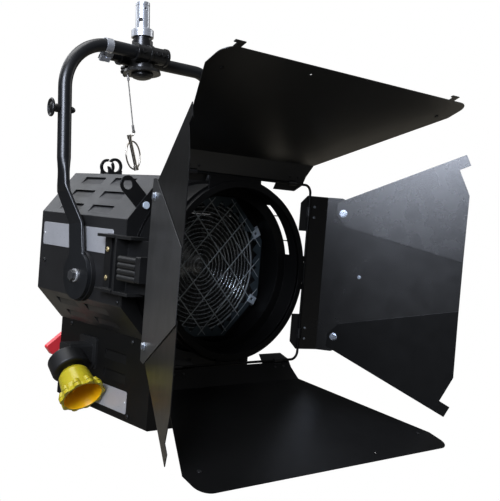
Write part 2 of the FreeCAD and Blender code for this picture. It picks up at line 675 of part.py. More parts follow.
def focus_drive():
    """Gearbox on the base's left side and the cup that a pole's hook turns from below."""
    direction = V(CUP_AXIS).normalize()
    barrel = Part.makeCylinder(HUB_R, 32, FOCUS_HUB - direction * 8, direction)
    barrel = rounded(barrel, 4, lambda e: isinstance(e.Curve, Part.Circle))
    hub = FOCUS_HUB
    arm = rounded(box((hub.x - 6, -FLOOR_HALF - 1), (hub.y - 20, hub.y + 22), (hub.z - 6, hub.z + 34)), 6,
                  along(X_AXIS))
    foot = rounded(box((-FLOOR_HALF - 5, -FLOOR_HALF), (hub.y - 30, hub.y + 32), (hub.z - 14, hub.z + 46)), 6,
                   along(X_AXIS))
    cup_room = Part.makeCylinder(46, 90, FOCUS_HUB + direction * 24, direction)
    case = fuse([barrel, arm, foot]).cut(cup_room)
    shaft_hole = Part.makeCylinder(FOCUS_SHAFT_R + FIT, 80, FOCUS_HUB - direction * 4, direction)
    add_head("focus_gearbox", case.cut(shaft_hole))
    side = direction.cross(X_AXIS).normalize()
    third = direction.cross(side)
    cup = place(cup_shape(), FOCUS_HUB + direction * 24.3, side, third, direction)
    shaft = Part.makeCylinder(FOCUS_SHAFT_R, 28, FOCUS_HUB - direction * 3.5, direction)
    add_head("focus_pole_cup", fuse([cup, shaft]))


CUP_H = 62.0
CUP_LOBES = 10


def cup_shape():
    """Cup drawn along +Z from its closed end at 0 to its scalloped mouth."""
    outer = turned([(0, 0), (15, 0), (15, 4), (24, 5), (29, 12), (33, CUP_H - 20), (38.5, CUP_H - 8),
                    (39.5, CUP_H), (0, CUP_H)], axis=Z_AXIS)
    lobes = []
    for i in range(CUP_LOBES):
        a = math.radians(360.0 / CUP_LOBES * i)
        x, y = 35.5 * math.cos(a), 35.5 * math.sin(a)
        lobes.append(cone(5.5, 8, (x * 0.93, y * 0.93, CUP_H - 18), (x, y, CUP_H - 7)))
        lobes.append(rod(8, (x, y, CUP_H - 7), (x, y, CUP_H)))
    cup = fuse([outer] + lobes)
    hollow = turned([(0, 10), (23, 10), (28, 16), (33, CUP_H - 14), (36.5, CUP_H + 1), (0, CUP_H + 1)],
                    axis=Z_AXIS)
    cup = cup.cut(hollow)
    bar = rod(3, (-27, 0, 30), (27, 0, 30))
    return fuse([cup, bar, rod(9, (0, 0, 9), (0, 0, 14))])


def rail_end_blocks():
    blocks = []
    for y in (-116, 148):
        block = box((-82, 82), (y, y + 8), (FLOOR_Z + SHEET, RAIL_Z + 12))
        blocks.append(block.cut(rod(FOCUS_SCREW_R + FIT, (0, y - 1, SCREW_Z), (0, y + 9, SCREW_Z))))
    return blocks


def lamp_carriage():
    rails = [rod(RAIL_R, (x, -108, RAIL_Z), (x, 148, RAIL_Z)) for x in (-RAIL_X, RAIL_X)]
    add_head("guide_rods", Part.makeCompound(rails))
    add_head("focus_lead_screw", fuse([rod(FOCUS_SCREW_R, (0, -114, SCREW_Z), (0, 155, SCREW_Z)),
                                       rod(9, (0, -107.5, SCREW_Z), (0, -100, SCREW_Z))]))
    deck = box((-78, 78), (CARRIAGE_Y - 30, CARRIAGE_Y + 30), (RAIL_Z + 8, RAIL_Z + 12))
    runners = [box((x - 10, x + 10), (CARRIAGE_Y - 30, CARRIAGE_Y + 30), (RAIL_Z - 9, RAIL_Z + 8))
               for x in (-RAIL_X, RAIL_X)]
    nut = box((-12, 12), (CARRIAGE_Y - 12, CARRIAGE_Y + 12), (SCREW_Z - 10, RAIL_Z + 8))
    bores = [rod(RAIL_R + FIT, (x, -200, RAIL_Z), (x, 200, RAIL_Z)) for x in (-RAIL_X, RAIL_X)]
    bores.append(rod(FOCUS_SCREW_R + FIT, (0, -200, SCREW_Z), (0, 200, SCREW_Z)))
    back_y = CARRIAGE_Y + 60
    bracket = [box((-15, 15), (CARRIAGE_Y + 10, back_y + 4), (RAIL_Z + 12, RAIL_Z + 15)),
               box((-15, 15), (back_y, back_y + 4), (RAIL_Z + 12, OPTIC_Z + 12))]
    add_head("lamp_carriage", cut_all(fuse([deck, nut] + runners + bracket), bores))
    mirror_r, mirror_edge = 78.0, 58.0
    centre = V(0, CARRIAGE_Y - 18, OPTIC_Z)
    ball = Part.makeSphere(mirror_r, centre).cut(Part.makeSphere(mirror_r - 1.2, centre))
    keep = rod(mirror_edge, (0, CARRIAGE_Y + 20, OPTIC_Z), (0, CARRIAGE_Y + 90, OPTIC_Z))
    add_head("reflector", ball.common(keep))
    holder = fuse([box((-26, 26), (CARRIAGE_Y - 34, CARRIAGE_Y), (RAIL_Z + 12.05, RAIL_Z + 34)),
                   rod(17, (0, CARRIAGE_Y - 17, RAIL_Z + 34), (0, CARRIAGE_Y - 17, RAIL_Z + 48))])
    add_head("lamp_holder", holder)
    lamp_y = CARRIAGE_Y - 17
    bulb = turned([(0, -24), (11, -24), (11, -4), (15, 2), (16, 30), (12, 42), (5, 47), (0, 48)], axis=Z_AXIS)
    bulb.translate(V(0, lamp_y, RAIL_Z + 72))
    add_head("lamp", bulb)


SWITCH = (-79.0, -130.0)      # x, z of the switch lever's shaft on the rear of the base
SWITCH_TURN = 50.0
GLAND = (50.0, -185.0)


def wiring():
    rear = BASE_Y[1]
    block = [box((10, 70), (60, 84), (BASE_Z + SHEET, BASE_Z + 22))]
    block += [rod(3, (16 + 12 * i, 72, BASE_Z + 22), (16 + 12 * i, 72, BASE_Z + 24)) for i in range(5)]
    gx, gz = GLAND
    gland = fuse([rod(10.95, (gx, rear - 8, gz), (gx, rear + 2, gz)),
                  hexagon(30, (gx, rear, gz), (gx, rear + 8, gz)),
                  rod(11, (gx, rear + 8, gz), (gx, rear + 20, gz))]).cut(
        rod(5, (gx, rear - 9, gz), (gx, rear + 21, gz)))
    tail = rod_path([(gx, 60, gz), (gx, rear + 26, gz), (gx, rear + 60, gz - 40)], 18)
    add_head("supply_entry", Part.makeCompound([fuse(block), gland, pipe(tail, 4.9)]))
    sx, sz = SWITCH
    body = box((sx - 14, sx + 14), (rear - 34, rear - SHEET - 0.1), (sz - 14, sz + 14))
    bush = rod(8.9, (sx, rear - 2, sz), (sx, rear + 6, sz))
    core = fuse([body, bush]).cut(rod(5.05, (sx, rear - 30, sz), (sx, rear + 7, sz)))
    plate = rounded(box((sx - 20, sx + 24), (rear, rear + 1), (sz - 24, sz + 20)), 4, along(Y_AXIS))
    plate = plate.cut(rod(8.95, (sx, rear - 1, sz), (sx, rear + 2, sz)))
    add_head("switch_body", Part.makeCompound([core, plate]))
    blade = prism([(sx - 9, rear + 8, sz + 2), (sx + 9, rear + 8, sz + 2), (sx + 12, rear + 8, sz - 66),
                   (sx - 12, rear + 8, sz - 66)], (0, 12, 0))
    blade = rounded(blade, 4, along(Y_AXIS))
    lever = fuse([rod(5, (sx, rear - 24, sz), (sx, rear + 16, sz)),
                  rod(13, (sx, rear + 7, sz), (sx, rear + 20, sz)),
                  blade])
    lever.rotate(V(sx, 0, sz), Y_AXIS, SWITCH_TURN)
    add_head("power_switch_lever", lever)


# ---- lens door --------------------------------------------------------------------------------
DOOR_HINGE_X = 174.0
DOOR_HINGE_Y = -134.0
PIN_R = 3.0


def lens_door():
    grow = 1.0
    plate = tunnel(DOOR_Y, DOOR_Y + DOOR_T, grow, 3)
    opening = rod(130, (0, DOOR_Y - 1, OPTIC_Z), (0, DOOR_Y + 10, OPTIC_Z))
    leaf_z = [(z, z + 22) for z in (-20.0, 66.0)]
    knuckles = []
    for z0, z1 in leaf_z:
        arm = box((150, DOOR_HINGE_X), (DOOR_Y, DOOR_Y + 2.5), (z0, z1))
        barrel = rod(5.5, (DOOR_HINGE_X, DOOR_HINGE_Y, z0), (DOOR_HINGE_X, DOOR_HINGE_Y, z1))
        knuckles.append(fuse([arm, barrel,
                              box((DOOR_HINGE_X - 5.5, DOOR_HINGE_X), (DOOR_Y, DOOR_HINGE_Y), (z0, z1))]))
    px, pz = LEVER_PIVOT
    bores = [rod(PIN_R + FIT, (DOOR_HINGE_X, DOOR_HINGE_Y, -60), (DOOR_HINGE_X, DOOR_HINGE_Y, 130)),
             rod(LEVER_BOLT_R + 0.02, (px, DOOR_Y - 1, pz), (px, DOOR_Y + DOOR_T + 1, pz))]
    relief = [rod(6.2, (DOOR_HINGE_X, DOOR_HINGE_Y, z), (DOOR_HINGE_X, DOOR_HINGE_Y, z + 24))
              for z in (2.0, 88.0)]
    frame = cut_all(fuse([plate.cut(opening)] + knuckles), bores + relief)
    add_head("lens_door_frame", frame)
    fixed = []
    for z in (3.0, 89.0):
        barrel = rod(5.5, (DOOR_HINGE_X, DOOR_HINGE_Y, z), (DOOR_HINGE_X, DOOR_HINGE_Y, z + 20))
        web = box((SIDE_X + 0.02, SIDE_X + 2), (DOOR_HINGE_Y + 2, DOOR_HINGE_Y + 26), (z, z + 20))
        reach = box((SIDE_X + 0.02, DOOR_HINGE_X), (DOOR_HINGE_Y + 1.5, DOOR_HINGE_Y + 4.5), (z, z + 20))
        fixed.append(fuse([barrel, web, reach]).cut(
            rod(PIN_R + 0.02, (DOOR_HINGE_X, DOOR_HINGE_Y, z - 1), (DOOR_HINGE_X, DOOR_HINGE_Y, z + 21))))
    pins = [fuse([rod(PIN_R, (DOOR_HINGE_X, DOOR_HINGE_Y, z), (DOOR_HINGE_X, DOOR_HINGE_Y, z + 46)),
                  rod(4.5, (DOOR_HINGE_X, DOOR_HINGE_Y, z + 44.1), (DOOR_HINGE_X, DOOR_HINGE_Y, z + 47))])
            for z in (-21.0, 65.0)]
    add_head("lens_door_hinge", Part.makeCompound(fixed + pins))


SLOT_Y = (-212.0, -200.0)
SLOT_DEG = (12.0, 54.0)
SLOT_MIDDLES = (33.0, 147.0)


def snoot():
    outline = [(SNOOT_R - 1.5, DOOR_Y), (SNOOT_R - 1.5, SNOOT_Y), (SNOOT_R, SNOOT_Y), (SNOOT_R, -222),
               (153.5, -222), (153.5, -220.5), (SNOOT_R, -220.5), (SNOOT_R, DOOR_Y - 1.5),
               (155, DOOR_Y - 1.5), (155, DOOR_Y)]
    wall = turned(outline, (0, 0, OPTIC_Z))
    ledge = turned([(131, -199), (SNOOT_R - 1.4, -199), (SNOOT_R - 1.4, -197.8), (131, -197.8)],
                   (0, 0, OPTIC_Z))
    slots = []
    half = math.radians((SLOT_DEG[1] - SLOT_DEG[0]) / 2)
    for middle in SLOT_MIDDLES:
        steps = [math.radians(middle) + k * half for k in (-1, 0, 1)]
        reach = [(0, 0)] + [(200 * math.cos(a), 200 * math.sin(a)) for a in steps]
        slots.append(prism([(x, SLOT_Y[0], z + OPTIC_Z) for x, z in reach], (0, SLOT_Y[1] - SLOT_Y[0], 0)))
    core = rod(140, (0, -230, OPTIC_Z), (0, -190, OPTIC_Z))
    cutters = [s.cut(core) for s in slots]
    return cut_all(fuse([wall, ledge]), cutters)


def fresnel():
    """Plano-convex lens collapsed into steps: flat behind, ridged in front."""
    back, edge = -122.0, -127.0
    rings = 12
    core = 26.0
    outline = [(0, back), (LENS_R, back), (LENS_R, edge)]
    step = (LENS_R - 3 - core) / rings
    for i in range(rings):
        outer = LENS_R - 3 - i * step
        outline.append((outer, edge))
        outline.append((outer - step * 0.88, edge - 3.2 + 0.08 * i))
    outline += [(core, edge), (core * 0.7, edge - 2.8), (core * 0.35, edge - 4.0), (0, edge - 4.4)]
    return turned(outline, (0, 0, OPTIC_Z))


def lens_fittings():
    add_head("snoot", snoot())
    add_head("fresnel_lens", fresnel())
    holder = turned([(LENS_R + 0.1, -135.0), (LENS_R + 0.1, -121.9), (119, -121.9), (119, -120.5),
                     (129, -120.5), (129, -133.6), (134, -133.6), (134, -135.0)], (0, 0, OPTIC_Z))
    retainer = turned([(122.5, -131.5), (125.0, -131.5), (125.0, -127.05), (122.5, -127.05)], (0, 0, OPTIC_Z))
    add_head("lens_holder", Part.makeCompound([holder, retainer]))


GUARD_Y = -150.0
GUARD_APOTHEM = 129.0
MESH_APOTHEM = 116.0
MESH_PITCH = 40.0
MESH_TURN = 47.0


def octagon(apothem, turn_deg=22.5):
    radius = apothem / math.cos(math.radians(22.5))
    return [(radius * math.cos(math.radians(turn_deg + 45 * i)),
             radius * math.sin(math.radians(turn_deg + 45 * i)))
            for i in range(8)]


def wire_guard():
    """Safety mesh cut from one eight-sided plate: a solid rim and a diagonal lattice."""
    t = 1.2
    disc = prism([(x, GUARD_Y, z + OPTIC_Z) for x, z in octagon(GUARD_APOTHEM)], (0, t, 0))
    window = prism([(x, GUARD_Y - 1, z + OPTIC_Z) for x, z in octagon(MESH_APOTHEM)], (0, t + 2, 0))
    rim = disc.cut(window)
    bars = []
    width, reach = 1.3, 160.0
    for turn in (MESH_TURN, -MESH_TURN):
        for i in range(-3, 4):
            middle = i * MESH_PITCH
            bar = box((-reach, reach), (GUARD_Y, GUARD_Y + t), (middle - width / 2, middle + width / 2))
            bar.rotate(V(0, 0, 0), Y_AXIS, turn)
            bar.translate(V(0, 0, OPTIC_Z))
            bars.append(bar)
    lattice = fuse(bars).common(disc)
    return fuse([rim, lattice])


CLIP_DEG = (30.0, 150.0, 208.0, 332.0)


def guard_clips():
    """Plated clips that hook over the guard's rim and are screwed to the door."""
    front = GUARD_Y - 1.3
    clips = []
    for angle in CLIP_DEG:
        foot = box((121, 138.9), (front, GUARD_Y - 0.05), (-7.5, 7.5)).cut(
            box((126, 132), (front - 1, GUARD_Y), (-3, 3)))
        leg = box((137.6, 138.9), (front, DOOR_Y - 0.05), (-7.5, 7.5))
        base = box((137.6, 147), (DOOR_Y - 1.3, DOOR_Y - 0.05), (-7.5, 7.5))
        clip = fuse([foot, leg, base, rod(3.2, (142.5, DOOR_Y - 3, 0), (142.5, DOOR_Y - 1.3, 0))])
        clip.rotate(V(0, 0, 0), Y_AXIS, -angle)
        clip.translate(V(0, 0, OPTIC_Z))
        clips.append(clip)
    return clips


SPRING_DEG = (22.0, 42.0, 138.0, 158.0)


def accessory_springs():
    """Wire springs that press on a filter frame through the snoot's slots."""
    springs = []
    for angle in SPRING_DEG:
        path = rod_path([(SNOOT_R + 2.2, -211, 0), (SNOOT_R + 2.2, -190, 0), (SNOOT_R + 2.2, -190, 8)], 3)
        wire = pipe(path, 0.9)
        spring = fuse([wire, rod(3.0, (SNOOT_R + 0.05, -190, 8), (SNOOT_R + 4.0, -190, 8))])
        spring.rotate(V(0, 0, 0), Y_AXIS, -angle)
        spring.translate(V(0, 0, OPTIC_Z))
        springs.append(spring)
    return springs


LEVER_PIVOT = (-134.0, 136.5)
LEVER_HOLE = (-170.4, 169.6)


LEVER_HALF = 15.0
LEVER_Y = (-134.9, -133.1)
LEVER_BOLT_R = 4.0


def accessory_lever():
    """Swinging keeper behind the top-left corner of the door; its finger hole stands clear of the housing."""
    y0, y1 = LEVER_Y
    px, pz = LEVER_PIVOT
    hx, hz = LEVER_HOLE
    length = math.hypot(hx - px, hz - pz)
    w = LEVER_HALF
    blade = fuse([box((0, length), (y0, y1), (-w, w)), rod(w, (length, y0, 0), (length, y1, 0)),
                  rod(w, (0, y0, 0), (0, y1, 0))])
    blade = cut_all(blade, [rod(9, (length, y0 - 1, 0), (length, y1 + 1, 0)),
                            rod(LEVER_BOLT_R + FIT, (0, y0 - 1, 0), (0, y1 + 1, 0))])
    blade.rotate(V(0, 0, 0), Y_AXIS, -math.degrees(math.atan2(hz - pz, hx - px)))
    blade.translate(V(px, 0, pz))
    bolt = fuse([rod(LEVER_BOLT_R, (px, DOOR_Y - 0.1, pz), (px, y1 + 0.1, pz)),
                 rod(6.5, (px, DOOR_Y - 2.6, pz), (px, DOOR_Y - 0.05, pz))])
    return blade, bolt


CATCH_PLATE = 5.05
CATCH_X = (-190.0, -157.5)
CATCH_TOP = (77.0, 82.0)
CATCH_LOW = (-17.0, -12.0)
GRIP_RIBS = (13.2, 23.5, 33.8, 44.1)


def door_catch():
    """Bracket on the housing side and, on the door, a cage with a ribbed slide that locks them together."""
    out, side = CATCH_X[0], -SIDE_X - 0.02
    plate = box((-SIDE_X - CATCH_PLATE, side), (-100, -80), (CATCH_LOW[0], CATCH_TOP[1]))
    flanges = [box((out, side), (-134.8, -80), z) for z in (CATCH_TOP, CATCH_LOW)]
    add_head("door_catch_bracket", fuse([plate] + flanges))
    arms = [box(CATCH_X, (-186, DOOR_Y - 0.02), z) for z in (CATCH_TOP, CATCH_LOW)]
    back = box(CATCH_X, (-143, DOOR_Y - 0.02), (CATCH_LOW[1], CATCH_TOP[0]))
    spine = box((-166, -160), (-212, -143), (CATCH_LOW[1], CATCH_TOP[0]))
    add_head("door_catch_housing", fuse(arms + [back, spine]))
    block = box((-190, -172), (-211, -158), (8, 49))
    tongue = box((-172, -166.05), (-205, -165), (20, 40))
    ribs = [rod(5.4, (-190, -211, z), (-190, -158, z)) for z in GRIP_RIBS]
    nose = rounded(box((-194, -170), (-224, -211), (9, 52)), 2.5, along(Y_AXIS))
    pin = tube(3.6, 2.0, (-187, -158, 31), (-187, -152, 31))
    add_head("door_catch_grip", fuse([block, tongue, nose, pin] + ribs))


def lens_door_group():
    lens_door()
    lens_fittings()
    add_head("wire_guard", wire_guard())
    blade, bolt = accessory_lever()
    add_head("accessory_lever", blade)
    add_head("lens_door_fittings", Part.makeCompound(guard_clips() + accessory_springs() + [bolt]))
    door_catch()


# ---- barndoor ---------------------------------------------------------------------------------
def barndoor_ring():
    y0, y1 = RING_Y
    outline = [(RING_R - 2, y0 + 1.5), (146, y0 + 1.5), (146, y0), (RING_R, y0), (RING_R, -231),
               (RING_R + 4.5, -231), (RING_R + 4.5, -229.5), (RING_R, -229.5), (RING_R, y1), (150.6, y1),
               (150.6, -218), (150.6, -219.5), (RING_R - 2, -219.5), (RING_R - 2, -223), (150.6, -223),
               (150.6, -224.5), (RING_R - 2, -224.5)]
    return turned(outline, (0, 0, OPTIC_Z))


LUG_FOOT = 132.0                     # the lugs are cut from here to the ring's own curve
LUG_SPANS = ((-31.0, -21.0), (21.0, 31.0))
TOP_LUG_SPANS = ((-38.0, 77.0),)     # the lug over the top is one long plate


def hinge_rods():
    """Square of round rod that the leaves swing on, standing on lugs round the ring."""
    h = HINGE_H
    bend = 15.0
    corners = [(0, h), (h, h), (h, -h), (-h, -h), (-h, h), (0, h)]
    path = rod_path([(x, HINGE_Y, z + OPTIC_Z) for x, z in corners], bend)
    frame = pipe(path, ROD_R)
    lugs = []
    for quarter, spans in enumerate((LUG_SPANS, LUG_SPANS, LUG_SPANS, TOP_LUG_SPANS)):
        for u0, u1 in spans:
            lug = box((LUG_FOOT, h + 0.5), (HINGE_Y - 1.6, HINGE_Y + 1.6), (u0, u1))
            lug = lug.cut(rod(RING_R + 0.02, (0, HINGE_Y - 5, 0), (0, HINGE_Y + 5, 0)))
            lug.rotate(V(0, 0, 0), Y_AXIS, 90 * quarter)
            lug.translate(V(0, 0, OPTIC_Z))
            lugs.append(lug)
    return fuse([frame] + lugs)


OUT = {"top": V(0, 0, 1), "bottom": V(0, 0, -1), "right": V(1, 0, 0), "left": V(-1, 0, 0)}
AHEAD = V(0, -1, 0)
STRIP_HALF = {"top": (139.0, 150.0), "bottom": (139.0, 150.0), "right": (144.0, 144.0),
              "left": (144.0, 144.0)}
PLATE_U = (78.0, 144.0)
KNUCKLE_U = (105.0, 123.0)
PLATE_N = LEAF_N + LEAF


def hinge_axes(which):
    """Origin and axes of a leaf: u along the hinge, v along the strip, n away from the beam."""
    a = math.radians(OPEN_DEG[which])
    out = OUT[which]
    origin = V(0, HINGE_Y, OPTIC_Z) + out * HINGE_H
    v = AHEAD * math.cos(a) + out * math.sin(a)
    n = out * math.cos(a) - AHEAD * math.sin(a)
    u = v.cross(n)
    return origin, u, v, n


def panel_axes():
    """Axes of the bent panel inside the leaf's own axes; the fold turns it towards the beam."""
    b = math.radians(BEND_DEG)
    origin = V(0, STRIP_V, LEAF_N + LEAF / 2)
    w = V(0, math.cos(b), -math.sin(b))
    m = V(0, math.sin(b), math.cos(b))
    return origin, X_AXIS, w, m


def on_panel(shape):
    return place(shape, *panel_axes())


def leaf_plate(outline):
    """Flat outline in (u, distance from hinge) drawn as sheet in panel axes."""
    return prism([(u, v - STRIP_V, -LEAF / 2) for u, v in outline], (0, 0, LEAF))


def strip_plate(which):
    near, far = STRIP_HALF[which]
    return prism([(-near, 3, LEAF_N), (near, 3, LEAF_N), (far, STRIP_V, LEAF_N), (-far, STRIP_V, LEAF_N)],
                 (0, 0, LEAF))


def place_leaf(shape, which):
    return place(shape, *hinge_axes(which))


def big_leaf(which, tab_spots):
    """Top and bottom leaves: wide flared panel with rounded front corners and any hanging tabs."""
    half, wide, flare, front = 150.0, 268.0, 263.0, 310.0
    panel = leaf_plate([(-half, STRIP_V), (half, STRIP_V), (wide, flare), (wide, front), (-wide, front),
                        (-wide, flare)])
    panel = rounded(panel, 22, lambda e: along(Z_AXIS)(e) and e.CenterOfMass.y > front - STRIP_V - 1)
    tabs = []
    for u in tab_spots:
        stem = box((u - 6, u + 6), (front - STRIP_V - 1, front - STRIP_V + 11), (-LEAF / 2, LEAF / 2))
        arm = box((u - 6, u + 12), (front - STRIP_V + 8, front - STRIP_V + 13), (-LEAF / 2, LEAF / 2))
        tabs += [stem, arm]
    fold = rod(LEAF / 2, (-half, STRIP_V, LEAF_N + LEAF / 2), (half, STRIP_V, LEAF_N + LEAF / 2))
    flat = cut_all(fuse([panel] + tabs), [rod(2, (95, 290 - STRIP_V, -3), (95, 290 - STRIP_V, 3))])
    return fuse([strip_plate(which), fold, on_panel(flat)])


def side_leaf(which):
    """Left and right leaves: the panel narrows forwards and carries two swinging wings."""
    half = 144.0
    panel = leaf_plate([(-half, STRIP_V), (half, STRIP_V), (half, 67), (50, 295), (-50, 295), (-half, 67)])
    pu, pv = WING_PIVOT
    holes = [rod(3.02, (s * pu, pv - STRIP_V, -3), (s * pu, pv - STRIP_V, 3)) for s in (-1, 1)]
    fold = rod(LEAF / 2, (-half, STRIP_V, LEAF_N + LEAF / 2), (half, STRIP_V, LEAF_N + LEAF / 2))
    return fuse([strip_plate(which), fold, on_panel(cut_all(panel, holes))])


WING_OUTLINE = [(112, 59), (135, 58), (143, 75), (238, 285), (219, 294), (210, 275), (165, 296), (44, 295),
                (91, 78)]
WING_GAP = 0.8


def wing(which, side):
    """Wing plate lying on the panel's beam side."""
    low = -LEAF / 2 - WING_GAP - LEAF
    outline = [(side * u, v - STRIP_V, low) for u, v in WING_OUTLINE]
    plate = prism(outline, (0, 0, LEAF))
    pu, pv = WING_PIVOT
    hole = rod(3 + FIT, (side * pu, pv - STRIP_V, -8), (side * pu, pv - STRIP_V, 8))
    return place_leaf(on_panel(plate.cut(hole)), which)


def wing_bolts():
    """Pivot bolts: head and washer on the beam side, a washer between the plates, nut behind."""
    bolts = []
    pu, pv = WING_PIVOT
    inner = -LEAF / 2 - WING_GAP - LEAF
    for side in (-1, 1):
        u, w = side * pu, pv - STRIP_V
        bolts.append(fuse([rod(3, (u, w, inner - 0.2), (u, w, LEAF / 2 + 4)),
                           rod(7.2, (u, w, -LEAF / 2 - WING_GAP + 0.05), (u, w, -LEAF / 2 - 0.05)),
                           rod(7.2, (u, w, inner - 1.4), (u, w, inner - 0.1)),
                           hexagon(10, (u, w, inner - 5.2), (u, w, inner - 1.4)),
                           rod(7.2, (u, w, LEAF / 2 + 0.02), (u, w, LEAF / 2 + 1.2)),
                           hexagon(10, (u, w, LEAF / 2 + 1.2), (u, w, LEAF / 2 + 5.2))]))
    return [on_panel(bolt) for bolt in bolts]


COVER_V = (-2.0, 22.0)
SHEET_T = 1.2


def hinge_plates(which):
    """Two sprung plates per leaf: riveted to the strip, curled round the rod, tail beyond it."""
    u0, u1 = PLATE_U
    plates = []
    for side in (-1, 1):
        outline = [(side * u0, -16), (side * 130, -16), (side * u1, -3), (side * u1, 22), (side * u0, 22)]
        plate = prism([(u, v, PLATE_N) for u, v in outline], (0, 0, SHEET_T))
        k0, k1 = sorted_pair(side * KNUCKLE_U[0], side * KNUCKLE_U[1])
        knuckle = rod(PLATE_N + SHEET_T, (k0, 0, 0), (k1, 0, 0))
        solid = fuse([plate, knuckle])
        solid = solid.cut(rod(ROD_R + FIT, (k0 - 200, 0, 0), (k1 + 200, 0, 0)))
        plates.append(solid)
    if which == "top":                # a cover closes the gap between the two plates over the lens
        plates.append(box((1 - u0, u0 - 1), COVER_V, (PLATE_N, PLATE_N + SHEET_T)))
    return plates


def rivet_heads(which):
    """Round heads on the beam side: two through each hinge plate, and the loose ones on the panel."""
    rivets = []
    for side in (-1, 1):
        for u in (104, 124):
            rivets.append(rod(2.2, (side * u, 12, LEAF_N - 1.0), (side * u, 12, LEAF_N - 0.02)))
    panel = ((238, 261), (-238, 261)) if which in ("top", "bottom") else ((0, 110),)
    for u, v in panel:
        head_low, head_high = (u, v - STRIP_V, -LEAF / 2 - 1.2), (u, v - STRIP_V, -LEAF / 2 - 0.02)
        rivets.append(on_panel(rod(3.4, head_low, head_high)))
    return rivets


def leaf_group(which, panel, fasteners):
    """Keep a leaf, its hinge plates and its fasteners; slots in the strip clear the knuckles."""
    k = [sorted_pair(s * KNUCKLE_U[0], s * KNUCKLE_U[1]) for s in (-1, 1)]
    relief = [box((a - 0.5, b + 0.5), (2.0, 6.0), (LEAF_N - 1, PLATE_N + 0.01)) for a, b in k]
    add_head("leaf_" + which, place_leaf(cut_all(panel, relief), which))
    plates = hinge_plates(which)
    rivets = rivet_heads(which)
    if fasteners:
        add_head("leaf_fasteners_" + which, place_leaf(Part.makeCompound(rivets + fasteners), which))
    else:
        plates = plates + rivets
    add_head("hinge_plates_" + which, place_leaf(Part.makeCompound(plates), which))


def barndoor():
    add_head("barndoor_ring", Part.makeCompound([barndoor_ring(), hinge_rods()]))
    leaf_group("top", big_leaf("top", (250.0, -216.0)), [])
    leaf_group("bottom", big_leaf("bottom", ()), [])
    for which in ("left", "right"):
        leaf_group(which, side_leaf(which), wing_bolts())
        for side, label in ((1, "a"), (-1, "b")):
            add_head("wing_" + which + "_" + label, wing(which, side))


def head():
    add_head("housing_wrap", housing_wrap())
    add_head("rear_panel", rear_panel())
    add_head("front_bulkhead", front_bulkhead())
    add_head("floor_plate", floor_plate())
    add_head("base_box", base_box())
    add_head("housing_screws", housing_screws())
    add_head("catch_screws", catch_screws())
    add_head("blank_plates", blank_plates())
    add_head("cable_hooks", cable_hooks())
    tilt_fittings()
    focus_drive()
    lamp_carriage()
    wiring()


hanger()
yoke()
safety_lanyard()
head()
lens_door_group()
barndoor()
os.makedirs("parts", exist_ok=True)
for name, shape in NODES.items():
    lowered = shape.copy()
    lowered.translate(V(0, 0, -PIN_MIDDLE))
    lowered.exportStep("parts/" + name + ".step")
print(len(NODES), "nodes")
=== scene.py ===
"""Looks of the fresnel spotlight: materials, finer meshes for the visible pieces, stage, light and camera.

Points on the head are given in millimetres in the head's own frame, and points on the yoke and in the room in
metres from the pan axis at the height of the tilt axis. head() and lamp() turn them into the row's frame.
"""
import json
import math

import bmesh
import bpy
from mathutils import Matrix, Vector


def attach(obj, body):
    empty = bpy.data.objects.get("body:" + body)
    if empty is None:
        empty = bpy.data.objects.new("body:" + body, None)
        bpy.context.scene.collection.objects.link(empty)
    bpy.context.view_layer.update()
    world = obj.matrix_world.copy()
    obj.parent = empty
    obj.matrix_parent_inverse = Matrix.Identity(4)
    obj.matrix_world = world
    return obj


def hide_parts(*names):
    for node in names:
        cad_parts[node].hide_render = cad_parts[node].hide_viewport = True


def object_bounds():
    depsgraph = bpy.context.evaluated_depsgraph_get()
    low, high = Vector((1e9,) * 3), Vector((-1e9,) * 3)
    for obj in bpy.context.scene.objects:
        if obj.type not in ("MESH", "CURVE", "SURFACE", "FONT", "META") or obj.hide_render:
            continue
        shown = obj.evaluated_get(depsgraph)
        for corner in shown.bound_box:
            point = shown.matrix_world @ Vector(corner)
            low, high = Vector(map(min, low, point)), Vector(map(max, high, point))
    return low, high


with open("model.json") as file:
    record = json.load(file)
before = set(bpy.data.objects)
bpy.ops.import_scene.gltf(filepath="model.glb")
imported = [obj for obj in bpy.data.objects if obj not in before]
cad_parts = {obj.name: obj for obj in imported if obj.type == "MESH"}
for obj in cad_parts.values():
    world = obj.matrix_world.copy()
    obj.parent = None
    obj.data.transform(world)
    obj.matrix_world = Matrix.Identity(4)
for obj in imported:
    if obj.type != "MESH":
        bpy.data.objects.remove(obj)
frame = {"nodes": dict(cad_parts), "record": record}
CAD_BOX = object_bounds()
NODES = frame["nodes"]
JOINTS = {joint["name"]: joint for joint in frame["record"]["behaviour"]["joints"]}

# ---- head frame: origin on the tilt axis, x to the right, y to the rear, z up --------------
MM = 0.001
HEAD_X = Vector((1, 0, 0))
HEAD_Y = -Vector(JOINTS["barndoor_turn"]["axis"])
HEAD_Z = Vector(JOINTS["lens_door_turn"]["axis"])
OPTIC_Z = 34.6                         # the lens centre above the tilt axis
RING_Y = -230.0                        # where the barndoor's joint is given on the optical axis
HEAD_ORIGIN = Vector(JOINTS["barndoor_turn"]["pos_m"]) - (HEAD_Y * RING_Y + HEAD_Z * OPTIC_Z) * MM
TILT_Z = JOINTS["tilt_turn"]["pos_m"][2]   # the tilt axis, below the row's origin in the spigot

# ---- lens, in millimetres -------------------------------------------------------------------
LENS_R = 125.0
LENS_RIM = 3.0                         # flat border outside the prism rings
LENS_CORE = 20.0                       # radius of the crowned middle
LENS_RINGS = 13
LENS_STEP = (LENS_R - LENS_RIM - LENS_CORE) / LENS_RINGS
LENS_BACK = -122.0
LENS_FRONT = -127.0                    # the rings stand on this plane
CORE_CROWN = 4.4
CREST_R = 1.05
CREST_HEIGHT = 3.1
LENS_SEGMENTS = 420

